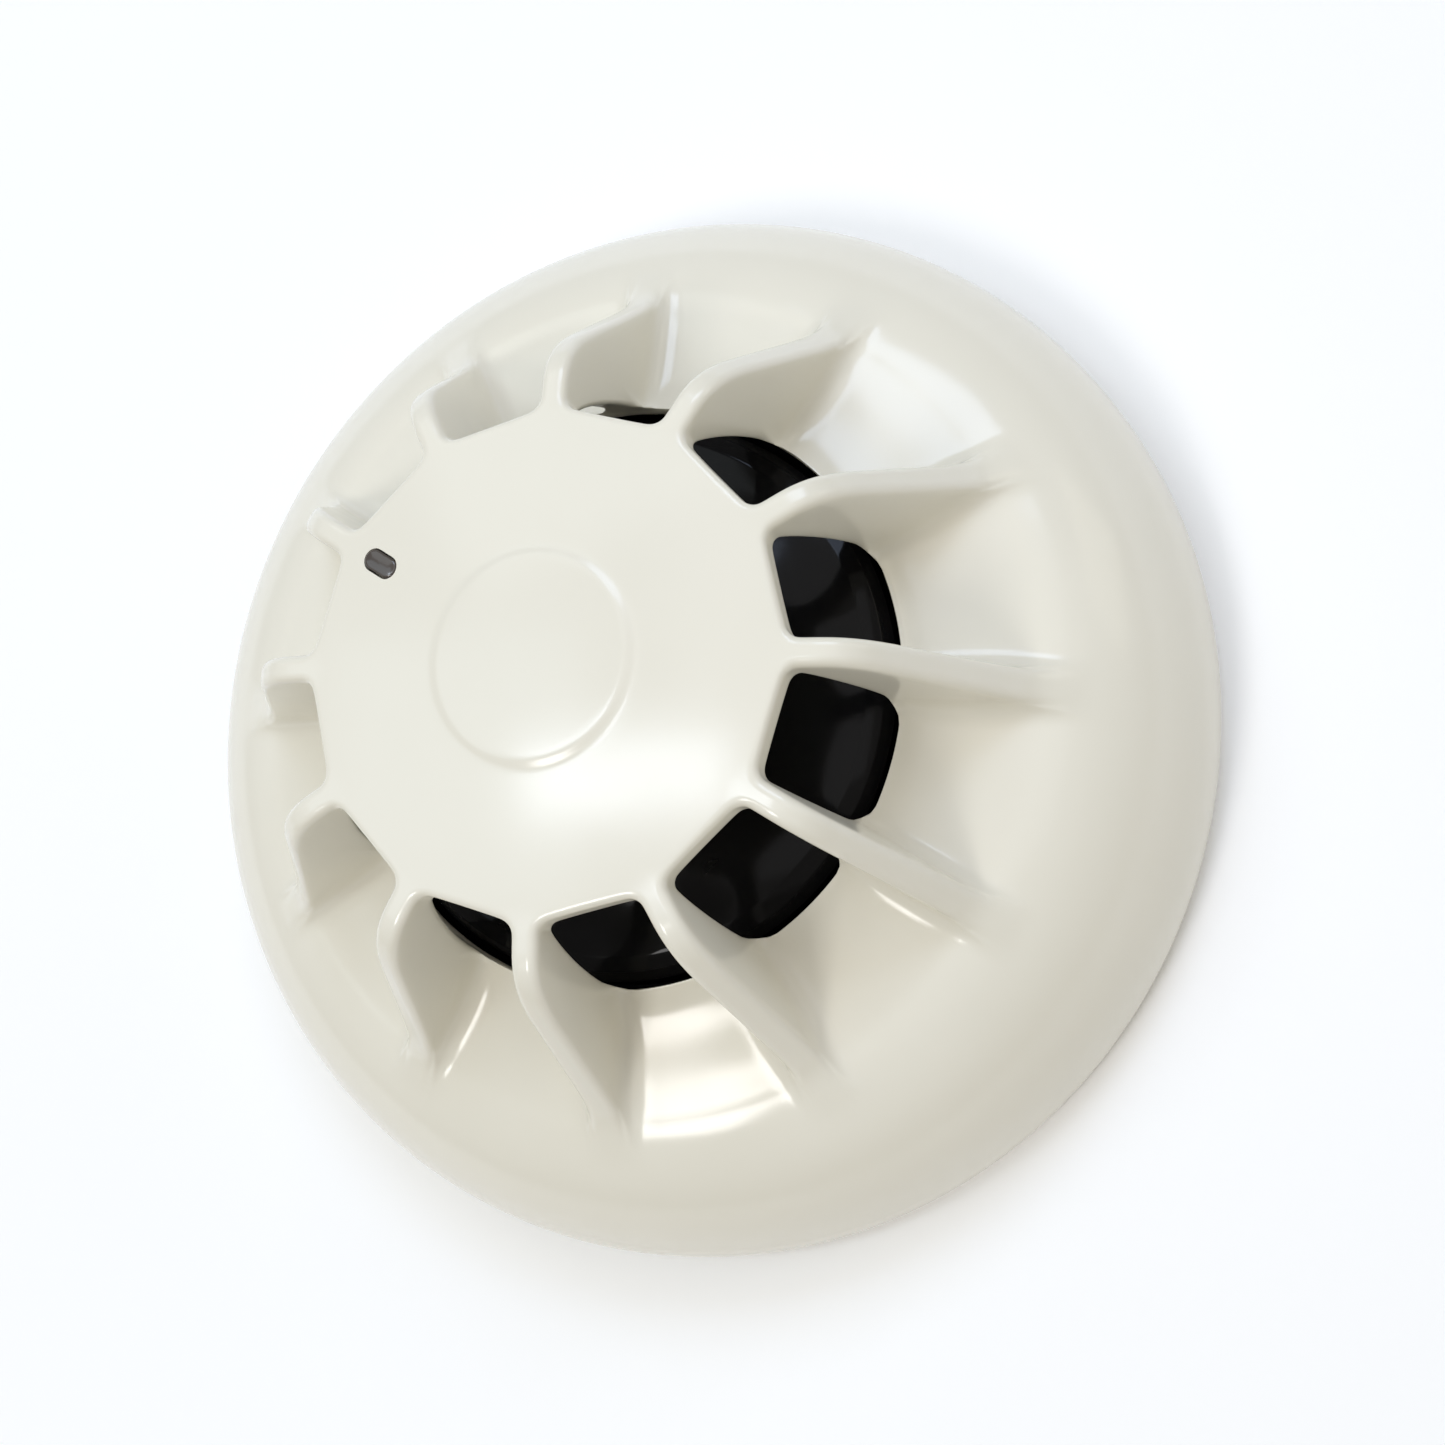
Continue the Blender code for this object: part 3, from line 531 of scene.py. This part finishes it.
def build_cover():
    verts, faces = [], []

    def add(x, y, z):
        verts.append((x, y, z))
        return len(verts) - 1

    def grid(rows):
        for a, b in zip(rows[:-1], rows[1:]):
            for i in range(len(a) - 1):
                f = []
                for v in (a[i], a[i + 1], b[i + 1], b[i]):
                    if v not in f:
                        f.append(v)
                if len(f) > 2:
                    faces.append(f)

    n_st = len(CREST)
    bottoms = INNER_EDGE + [(r, floor_z(r)) for r in FLOOR_R]
    assert len(bottoms) == n_st

    def direction(seq, i):
        a, b = seq[max(i - 1, 0)], seq[min(i + 1, len(seq) - 1)]
        d = math.hypot(b[0] - a[0], b[1] - a[1])
        return ((b[0] - a[0]) / d, (b[1] - a[1]) / d)

    def across(d, e):
        return max(0.45, abs(d[0] * e[1] - d[1] * e[0]))

    # ---- rib and shoulder stations
    def angle_spread(r):
        return ease((r - 39.2) / (47.5 - 39.2))

    stations = []
    flat = [(RIB_HALF - CREST_ROUND) * k / NC for k in range(NC)]
    for i in range(n_st):
        (ts, tz), (bs, bz) = CREST[i], bottoms[i]
        L = math.hypot(bs - ts, bz - tz)
        dirv = ((bs - ts) / L, (bz - tz) / L)
        st = across(dirv, direction(CREST, i))
        pts = [(ts, t, tz) for t in flat]
        if i < I_SILL:
            sb = across(dirv, direction(bottoms, i))
            es = [CREST_ROUND * v / st for _, v in ROUND]
            ds = [CREST_ROUND * u for u, _ in ROUND]
            lowest = L - 0.34 / sb
            es += [lerp(es[3], lowest, f) for f in (0.25, 0.5, 0.75)] + [lowest, L - 0.10 / sb, L]
            ds += [0, 0, 0, 0, 0.09, 0.30]
            for e, d in zip(es, ds):
                z = tz + dirv[1] * e
                pts.append((ts + dirv[0] * e, wall_t(z) - d, z))
        else:
            H = max(0.0, tz - floor_z(bs))
            base_r = lerp(1.45, BASE_ROUND, ease((bs - 26.0) / 5.0))
            k = min(1.0, H / (CREST_ROUND / st + base_r + 0.3))
            if i == n_st - 1:
                k = 0.0
            top = CREST_ROUND * k
            foot = base_r * k
            t_flat = [0.48 + (3.35 - 0.48) * j / 9 for j in range(10)]
            drops = [top * v / st for _, v in ROUND]
            sides = [RIB_HALF - CREST_ROUND * u for u, _ in ROUND]
            reach = L * (1 - foot / max(H, 0.01)) if k > 0 else L
            drops.append(lerp(drops[3], reach, 0.5))
            sides.append(None)
            for j in range(10):
                if j < 5:
                    e = drops[j]
                    z = tz + dirv[1] * e
                    t = sides[j] if sides[j] is not None else RIB_HALF
                    t += wall_t(z) - RIB_HALF
                    x = ts + dirv[0] * e
                else:
                    u, v = FILLET[j - 5]
                    rise = foot * v
                    z = floor_z(bs) + rise
                    t = wall_t(z) + base_r * u
                    f = rise / max(H, 0.01)
                    x = lerp(bs, ts, f)
                    if j > 5 or k < 1:
                        x = lerp(x, math.sqrt(max(1.0, bs * bs - t * t)), 1 - f * 0.5)
                if k < 1:
                    t = lerp(t, t_flat[j], (1 - k) ** 1.5)
                    h = z - floor_z(bs) if k > 0 else 0.0
                    f = h / max(H, 0.01)
                    x = lerp(bs, ts, f) - (bs - math.sqrt(bs * bs - t * t)) * lerp(1 - f * 0.5, 1.0, 1 - k)
                    z = floor_z(bs) + h
                pts.append((x, t, z))
            if k < 1:
                for n in range(NC):
                    pts[n] = (ts - (ts - math.sqrt(ts * ts - flat[n] ** 2)) * (1 - k), flat[n],
                              floor_z(bs) + (H if k > 0 else 0))
        stations.append(pts)

    rows = []
    for i, pts in enumerate(stations):
        r_row = bottoms[i][0]
        sp = angle_spread(r_row)
        out = []
        n_cols = NC + NW + NF
        for c, (x, y, z) in enumerate(pts):
            if sp > 0:
                r = math.hypot(x, y)
                a = lerp(math.atan2(y, x), HALF * c / n_cols, sp)
                x, y = r * math.cos(a), r * math.sin(a)
            out.append((x, y, z))
        if i >= I_SILL:
            x, y, z = out[-1]
            a9 = math.atan2(y, x)
            for m in range(1, NF + 1):
                a = lerp(a9, HALF, m / NF)
                if sp > 0:
                    a = lerp(a, HALF * (NC + NW + m) / n_cols, sp)
                out.append((r_row * math.cos(a), r_row * math.sin(a), floor_z(r_row)))
        rows.append([add(*p) for p in out])
        if i == I_SILL:
            sill_angles = [math.atan2(out[c][1], out[c][0]) for c in range(NC + NW, NC + NW + NF + 1)]
        if i == n_st - 1:
            last_angles = [math.atan2(p[1], p[0]) for p in out]
    for i in range(I_SILL):
        grid([rows[i][:NC + NW + 1], rows[i + 1][:NC + NW + 1]])
    grid(rows[I_SILL:])

    # ---- shoulder down to the skirt
    n_cols = NC + NW + NF
    outer = [shoulder(u) for u in (61.5, 56, 50.5, 45, 39.5, 34, 28.5, 23, 17.5, 12, 7, 3)]
    outer += [(R_HEAD, Z_WAIST + 0.15), (R_HEAD, Z_SKIRT + 0.16), (R_HEAD - 0.14, Z_SKIRT),
              (R_HEAD - 0.5, Z_SKIRT), (R_HEAD - 0.95, Z_SKIRT)]
    prev = rows[-1]
    for r, z in outer:
        sp = angle_spread(r)
        row = []
        for c in range(n_cols + 1):
            a = lerp(last_angles[c], HALF * c / n_cols, ease((r - 40.7) / (47.5 - 40.7)))
            row.append(add(r * math.cos(a), r * math.sin(a), z))
        grid([prev, row])
        prev = row
    # ---- underside of the rim: the wall columns close into one
    r_in, z_in = R_HEAD - WALL + 0.42, Z_SKIRT
    row_in = []
    keep = [0, 1, 2, 3] + [NC + NW + m for m in range(1, NF + 1)]
    for c in keep:
        a = HALF * c / n_cols
        row_in.append(add(r_in * math.cos(a), r_in * math.sin(a), z_in))
    for c in range(NC):
        faces.append([prev[c], prev[c + 1], row_in[c + 1], row_in[c]])
    faces.append([prev[c] for c in range(NC, NC + NW + 2)] + [row_in[NC + 1], row_in[NC]])
    for m in range(1, NF):
        c = NC + NW + m
        faces.append([prev[c], prev[c + 1], row_in[NC + m + 1], row_in[NC + m]])
    inner = [(R_HEAD - WALL + 0.14, Z_SKIRT + 0.03), (R_HEAD - WALL + 0.02, Z_SKIRT + 0.3)]
    inner += [shoulder(u, WALL) for u in (5, 11, 18, 25, 33, 41, 49, 57, 65, 73, 80, 86)]
    inner += [(33.2, 17.35), (31.4, 17.62), (29.6, 18.03), (28.0, 18.62), (26.8, 19.2), (26.25, 19.46),
              (26.02, 19.7), (26.0, 20.2), (26.0, 20.75)]
    sill_t = [0.0, 0.36, 0.72]
    prev_in = row_in
    even = [HALF * c / n_cols for c in keep]
    for n, (r, z) in enumerate(inner):
        w = ease((r - 26.0) / (44.0 - 26.0))
        at_sill = [math.asin(t / R_SILL) for t in sill_t] + sill_angles
        row = []
        for c in range(NC + NF + 1):
            a = lerp(at_sill[c], even[c], w)
            row.append(add(r * math.cos(a), r * math.sin(a), z))
        grid([prev_in, row])
        prev_in = row
    # ---- inner edges of the ribs
    strips = []
    for i in range(I_SILL + 1):
        bs, bz = bottoms[i]
        strip = []
        for t in sill_t:
            if i < I_SILL:
                strip.append(add(bs, t * 0.95, bz))
            else:
                strip.append(add(25.93, t, 21.35))
        strip.append(rows[i][NC + NW])
        strips.append(strip)
    grid(strips)
    grid([prev_in, strips[-1] + rows[I_SILL][NC + NW + 1:]])

    # ---- edge of the face disc between ribs
    cs, sn = math.cos(HALF), math.sin(HALF)
    chord_x = FILLET_S * cs + FILLET_T * sn - FILLET_R
    y_end = FILLET_S * sn - FILLET_T * cs      # off the pocket centreline

    def outline(q, d):
        """Point q of the disc's edge, set in by d, in the rib's own frame."""
        if q <= 4:
            f = q / 4
            X = chord_x - d - 0.04 * (1 - f * f)
            Y = y_end * (1 - (1 - f) ** 1.25)
            return (X * cs + Y * sn * 1.0, X * sn - Y * cs)
        f = (q - 4) / 5
        # from facing along the pocket centreline to facing off the rib's side
        a0 = math.atan2(-sn, -cs)
        a1 = -math.pi / 2
        a = lerp(a0, a1, f)
        R = FILLET_R + d
        return (FILLET_S + R * math.cos(a), FILLET_T + R * math.sin(a))

    bands = []
    for q in range(9):
        f = max(0.0, (q - 4) / 5) ** 1.6
        zb = lerp(Z_SOFFIT, INNER_EDGE[0][1], f)
        shift = lerp(0.0, INNER_EDGE[0][0] - FILLET_S, f)
        x, y = outline(q, 0.5)
        zt = face_z(math.hypot(x, y))
        H = zt - zb
        rho = lerp(0.5, CREST_ROUND, ease((q - 4) / 5))
        es = [rho * v for _, v in ROUND]
        ds = [rho * u for u, _ in ROUND]
        es += [lerp(rho, H - 0.34, g) for g in (0.25, 0.5, 0.75)] + [H - 0.34, H - 0.10, H]
        ds += [0, 0, 0, 0, 0.09, 0.30]
        band = []
        for e, d in zip(es, ds):
            z = zt - e
            x, y = outline(q, d - 0.0)
            band.append(add(x + shift * e / H, y, z))
        bands.append(band)
    bands.append(rows[0][NC:NC + NW + 1])
    # the pocket's centreline has to hold the first column
    for v in bands[0]:
        x, y, z = verts[v]
        r = x * cs + y * sn
        verts[v] = (r * cs, r * sn, z)
    grid(bands)

    # ---- face
    rim = [b[0] for b in bands] + [rows[0][k] for k in range(NC - 1, -1, -1)]
    rings = [rim]
    rim_r = [math.hypot(verts[v][0], verts[v][1]) for v in rim]
    rim_a = [math.atan2(verts[v][1], verts[v][0]) for v in rim]
    r_in = 19.3
    for f in (0.22, 0.5, 0.78):
        row = []
        for r0, a in zip(rim_r, rim_a):
            r = lerp(r0, r_in, f)
            row.append(add(r * math.cos(a), r * math.sin(a), face_z(r)))
        rings.append(row)
    for r, up in ((19.3, 0), (18.3, 0), (17.1, 0), (15.8, 0), (14.4, 0), (13.0, 0), (11.6, 0),
                  (10.4, 0), (9.6, 0), (9.2, 0.015), (8.95, 0.065), (8.68, 0.155), (8.42, 0.225), (8.1, 0.25), (7.2, 0.25),
                  (6.0, 0.25), (4.6, 0.25), (3.2, 0.25), (2.0, 0.25)):
        rings.append([add(r * math.cos(a), r * math.sin(a), face_z(r) + up * BADGE_RISE / 0.25)
                      for a in rim_a])
    grid(rings)
    # ---- soffit of the face
    low = [b[NW] for b in bands] + [strips[0][k] for k in range(NC - 1, -1, -1)]
    rings = [low]
    low_r = [math.hypot(verts[v][0], verts[v][1]) for v in low]
    for f in (0.3, 0.7):
        rings.append([add(lerp(r0, 19.0, f) * math.cos(a), lerp(r0, 19.0, f) * math.sin(a), Z_SOFFIT)
                      for r0, a in zip(low_r, rim_a)])
    for r in (19.0, 16.0, 12.0, 8.0, 4.0):
        rings.append([add(r * math.cos(a), r * math.sin(a), Z_SOFFIT) for a in rim_a])
    grid(rings)

    # ---- all round
    all_v, all_f = [], []
    for k in range(N_RIBS):
        a = math.radians(RIB_PHASE + 360.0 / N_RIBS * k)
        ca, sa = math.cos(a), math.sin(a)
        for side in (1, -1):
            base = len(all_v)
            for x, y, z in verts:
                yy = y * side
                all_v.append(((x * ca - yy * sa) * MM, (x * sa + yy * ca) * MM, z * MM))
            for f in faces:
                g = [base + v for v in f]
                all_f.append(g if side == 1 else g[::-1])
    mesh = bpy.data.meshes.new("cover_moulding")
    mesh.from_pydata(all_v, [], all_f)
    tidy(mesh, 0.000004)
    ob = link(bpy.data.objects.new("cover_moulding", mesh), COVER)
    sub = ob.modifiers.new("smooth", 'SUBSURF')
    sub.levels = 1
    sub.render_levels = 1
    settle(ob, 180.0)
    bm = bmesh.new()
    bm.from_mesh(ob.data)
    open_edges = [e for e in bm.edges if e.is_boundary]
    middles = {}
    for e in open_edges:
        z = e.verts[0].co.z
        key = "face" if z > 0.036 else "soffit"
        if key not in middles:
            middles[key] = bm.verts.new((0, 0, face_z(0) * MM + BADGE_RISE * MM if key == "face" else z))
        bm.faces.new((e.verts[0], e.verts[1], middles[key]))
    bmesh.ops.recalc_face_normals(bm, faces=bm.faces)
    bm.to_mesh(ob.data)
    bm.free()
    shade(ob.data, 180.0)
    return ob


cover = build_cover()

# bosses for the cover's screws, the alignment mark and the indicator's opening
lx, ly = polar(R_LED, AZ_LED)
hole = plate("pill_hole", [slot_outline(lx, ly, PILL_LONG + 2 * PILL_GAP, PILL_WIDE + 2 * PILL_GAP,
                                        AZ_LED)], Z_FACE - 6.0, Z_FACE + 6.0)
boss_obs = []
for i in (1, 2, 3):
    lo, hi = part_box("cover_screw_%d" % i)
    cx, cy = (lo.x + hi.x) / 2 / MM, (lo.y + hi.y) / 2 / MM
    z_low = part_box("back_plate")[1].z / MM
    b = turned("boss_%d" % i, [(0, 16.85), (2.8, 16.85), (2.8, z_low + 0.3), (1.5, z_low + 0.3),
                               (1.5, 16.4), (0, 16.4)], 48, None, closed=False, at=(cx, cy))
    boss_obs.append(b)
mark_cube = bmesh.new()
bmesh.ops.create_cube(mark_cube, size=1.0)
bmesh.ops.transform(mark_cube, verts=mark_cube.verts,
                    matrix=Matrix.Translation((49.55 * MM, 0, 3.95 * MM))
                    @ Matrix.Diagonal((1.6 * MM, 1.9 * MM, 2.8 * MM, 1.0)))
bmesh.ops.bevel(mark_cube, geom=list(mark_cube.edges), offset=0.22 * MM, segments=3, profile=0.5,
                affect='EDGES')
bmesh.ops.rotate(mark_cube, verts=mark_cube.verts, cent=(0, 0, 0),
                 matrix=Matrix.Rotation(math.radians(30.0), 3, 'Z'))
mm = bpy.data.meshes.new("mark")
mark_cube.to_mesh(mm)
mark_cube.free()
mark = link(bpy.data.objects.new("mark", mm))
boolean(cover, 'DIFFERENCE', hole)
boolean(cover, 'UNION', mark)
for b in boss_obs:
    boolean(cover, 'UNION', b)
settle(cover, 42.0)
drop(hole, mark, *boss_obs)
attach(cover, "head")
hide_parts("outer_cover")

# ------------------------------------------------------------------ black shield
shield_profile = [(2.4, 25.0), (6.0, 24.86), (10.0, 24.4), (13.5, 23.6), (16.5, 22.82), (19.0, 22.22),
                  (21.5, 21.85), (23.2, 21.58), (24.5, 21.05), (25.3, 20.0),
                  (25.3, 17.0), (28.6, 17.0), (28.6, 14.1), (27.4, 14.1), (27.4, 15.8), (24.1, 15.8),
                  (24.1, 17.6), (23.2, 19.4), (21.0, 20.6), (16.7, 21.7), (10.0, 23.2), (2.4, 23.8)]
shield = turned("air_shield", rounded(shield_profile, [0.25] + [1.5] * 7 + [0.35, 0.35] + [0.2] * 12, 3), 144, BLACK)
way = plate("way", [circle(lx, ly, 1.6, 40)], 18.0, 27.0)
boolean(shield, 'DIFFERENCE', way)
settle(shield, 40.0)
drop(way)
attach(shield, "head")
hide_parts("inner_shield")

# ------------------------------------------------------------------ indicator window and its stem
pill = plate("indicator_lens", [slot_outline(lx, ly, PILL_LONG, PILL_WIDE, AZ_LED, 20)],
             Z_FACE - 2.9, LED_HI.z / MM - 0.02, SMOKED, round_edge=0.22)
stem = plate("stem", [circle(lx, ly, 0.8, 40)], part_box("light_pipe")[0].z / MM, Z_FACE - 1.5)
boolean(pill, 'UNION', stem)
settle(pill, 40.0)
drop(stem)
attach(pill, "head")
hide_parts("light_pipe")

# ------------------------------------------------------------------ sensing bead, leads and grommet
blo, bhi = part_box("thermistor_bead")
bz0, bz1 = blo.z / MM, bhi.z / MM
br = bhi.x / MM
bead_profile = [(0, bz1)]
for k in range(1, 16):
    a = math.pi * k / 16
    taper = 1.0 if k < 8 else 1.0 - 0.22 * math.sin((k - 8) / 8 * math.pi)
    bead_profile.append((br * math.sin(a) * taper, (bz0 + bz1) / 2 + (bz1 - bz0) / 2 * math.cos(a)))
bead_profile.append((0, bz0))
bead = turned("sensing_bead", bead_profile, 40, BEAD_M, closed=False)
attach(bead, "head")
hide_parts("thermistor_bead")

grommet = turned("lead_grommet", rounded([(0.0, 26.0), (3.4, 26.0), (3.4, 25.3), (2.1, 25.3), (2.1, 22.8),
                                          (0.0, 22.8)], [0, 0.25, 0.1, 0.05, 0.3, 0], 4, closed=False),
                 72, RUBBER, closed=False)
ways = [plate("w%d" % s, [circle(s * 1.0, 0, 0.56, 24)], 20.0, 28.0) for s in (1, -1)]
for w in ways:
    boolean(grommet, 'DIFFERENCE', w)
settle(grommet, 40.0)
drop(*ways)
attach(grommet, "head")
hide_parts("sensor_grommet")

for n, side in enumerate((1, -1)):
    z0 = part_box("thermistor_lead_%d" % (n + 1))[0].z / MM
    z1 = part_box("thermistor_lead_%d" % (n + 1))[1].z / MM
    verts, faces = [], []
    path = []
    for k in range(41):
        z = lerp(z0, z1, k / 40)
        e = ease((z - 26.3) / 2.2)
        path.append((side * (1.0 - 0.5 * e), 0.0, z))
    for x, y, z in path:
        for m in range(16):
            a = 2 * math.pi * m / 16
            verts.append(((x + 0.27 * math.cos(a)) * MM, (y + 0.27 * math.sin(a)) * MM, z * MM))
    for k in range(40):
        for m in range(16):
            faces.append([k * 16 + m, k * 16 + (m + 1) % 16, (k + 1) * 16 + (m + 1) % 16, (k + 1) * 16 + m])
    faces.append(list(range(16))[::-1])
    faces.append([40 * 16 + m for m in range(16)])
    mesh = bpy.data.meshes.new("bead_lead_%d" % (n + 1))
    mesh.from_pydata(verts, [], faces)
    tidy(mesh)
    shade(mesh, 50)
    lead = link(bpy.data.objects.new("bead_lead_%d" % (n + 1), mesh), TIN)
    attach(lead, "head")
    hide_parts("thermistor_lead_%d" % (n + 1))

# ------------------------------------------------------------------ materials of the carried-over nodes
CARRIED = {
    "cover_seal": RUBBER, "status_led": LED_M, "circuit_board": BOARD,
    "electrolytic_capacitor": CAN, "control_ic": CHIP, "bridge_rectifier": CHIP,
    "film_capacitor": FILM, "transistor": CHIP, "surge_suppressor": BLUE,
    "reference_thermistor": BEAD_M, "back_plate": PLATE_M, "mounting_base": BASE_M,
}
for i in range(1, 5):
    CARRIED["resistor_%d" % i] = SAND
    CARRIED["contact_blade_%d" % i] = BRASS
    CARRIED["contact_spring_%d" % i] = BRASS
    CARRIED["clamp_plate_%d" % i] = BRASS
    CARRIED["terminal_screw_%d" % i] = ZINC
for i in range(1, 4):
    CARRIED["cover_screw_%d" % i] = ZINC
for i in range(1, 3):
    CARRIED["board_screw_%d" % i] = ZINC
for name, mat in CARRIED.items():
    data = NODES[name].data
    data.materials.clear()
    data.materials.append(mat)

# ------------------------------------------------------------------ floor, lights and camera
floor_mesh = bpy.data.meshes.new("studio_floor")
S = 2.4
floor_mesh.from_pydata([(-S, -S, 0), (S, -S, 0), (S, S, 0), (-S, S, 0)], [], [(0, 1, 2, 3)])
floor_mat, fb = shader("floor_paper", 0.9, spec=0.0)
vary(floor_mat, fb, (0.975, 0.975, 0.97), (0.985, 0.985, 0.98), 3.0)
floor = link(bpy.data.objects.new("studio_floor", floor_mesh), floor_mat)
floor.location.z = -0.00002
floor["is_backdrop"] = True

world = bpy.data.worlds.new("studio")
SCENE.world = world
world.use_nodes = True
bg = world.node_tree.nodes["Background"]
bg.inputs["Color"].default_value = (1.0, 0.95, 0.85, 1.0)
bg.inputs["Strength"].default_value = 0.30

D_CAM, FOCAL, TILT, ROLL, TX, TY, TURN = 190.0, 48.0, 22.64, 1.1508, -1.89, -0.77, -8.5
c, s = math.cos(ROLL), math.sin(ROLL)
ct, st = math.cos(math.radians(TILT)), math.sin(math.radians(TILT))
R = Vector((c, -s * ct, -s * st))
U = Vector((s, c * ct, c * st))
B = Vector((0.0, -st, ct))
C = -TX * R - TY * U + D_CAM * B
spin = Matrix.Rotation(math.radians(TURN), 3, 'Z')
# columns of a camera's matrix: right, up, back
right, up, back, place = spin @ R, spin @ U, spin @ B, spin @ C
cam_data = bpy.data.cameras.new("camera")
cam_data.sensor_width = 36.0
cam_data.lens = FOCAL
cam_data.clip_start = 0.01
cam_data.clip_end = 20.0
camera = link(bpy.data.objects.new("camera", cam_data))
camera.matrix_world = Matrix(((right.x, up.x, back.x, place.x * MM), (right.y, up.y, back.y, place.y * MM),
                              (right.z, up.z, back.z, place.z * MM), (0, 0, 0, 1)))
SCENE.camera = camera


def area(name, toward, dist, size, watts, size_y, colour):
    """A soft light; toward is its direction in the picture: right, up, back."""
    d = (right * toward[0] + up * toward[1] + back * toward[2]).normalized()
    data = bpy.data.lights.new(name, 'AREA')
    data.shape = 'RECTANGLE'
    data.size = size
    data.size_y = size_y
    data.color = colour
    data.energy = watts
    ob = link(bpy.data.objects.new(name, data))
    ob.location = d * dist
    across = (right - d * right.dot(d)).normalized()
    ob.rotation_euler = Matrix((across, d.cross(across), d)).transposed().to_euler()
    return ob


area("over_soft", (-0.05, 0.15, 0.98), 1.3, 1.4, 1.9, 1.4, (1.0, 0.96, 0.95))
area("over_key", (-0.20, 0.35, 0.90), 1.2, 0.9, 1.6, 0.9, (0.95, 0.96, 1.0))
area("top_window", (-0.12, 0.74, 0.66), 1.0, 0.50, 2.70, 0.34, (0.64, 0.76, 1.0))
area("left_window", (-0.56, -0.32, 0.77), 1.0, 0.22, 2.25, 0.26, (1.0, 0.985, 0.97))
area("left_key", (-0.60, 0.14, 0.79), 1.0, 0.34, 1.15, 0.12, (0.80, 0.88, 1.0))
area("left_wall", (-0.80, 0.12, 0.58), 1.0, 0.45, 0.75, 0.45, (0.74, 0.89, 1.0))
area("upper_left", (-0.62, 0.62, 0.48), 1.0, 0.45, 0.70, 0.45, (0.88, 0.97, 1.0))
area("upper_right", (0.60, 0.55, 0.58), 1.0, 0.40, 0.50, 0.40, (1.0, 0.94, 0.80))

SCENE.view_settings.view_transform = 'Standard'
SCENE.view_settings.look = 'None'
SCENE.view_settings.exposure = 0.0
SCENE.view_settings.gamma = 1.0

import json
lo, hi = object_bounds()
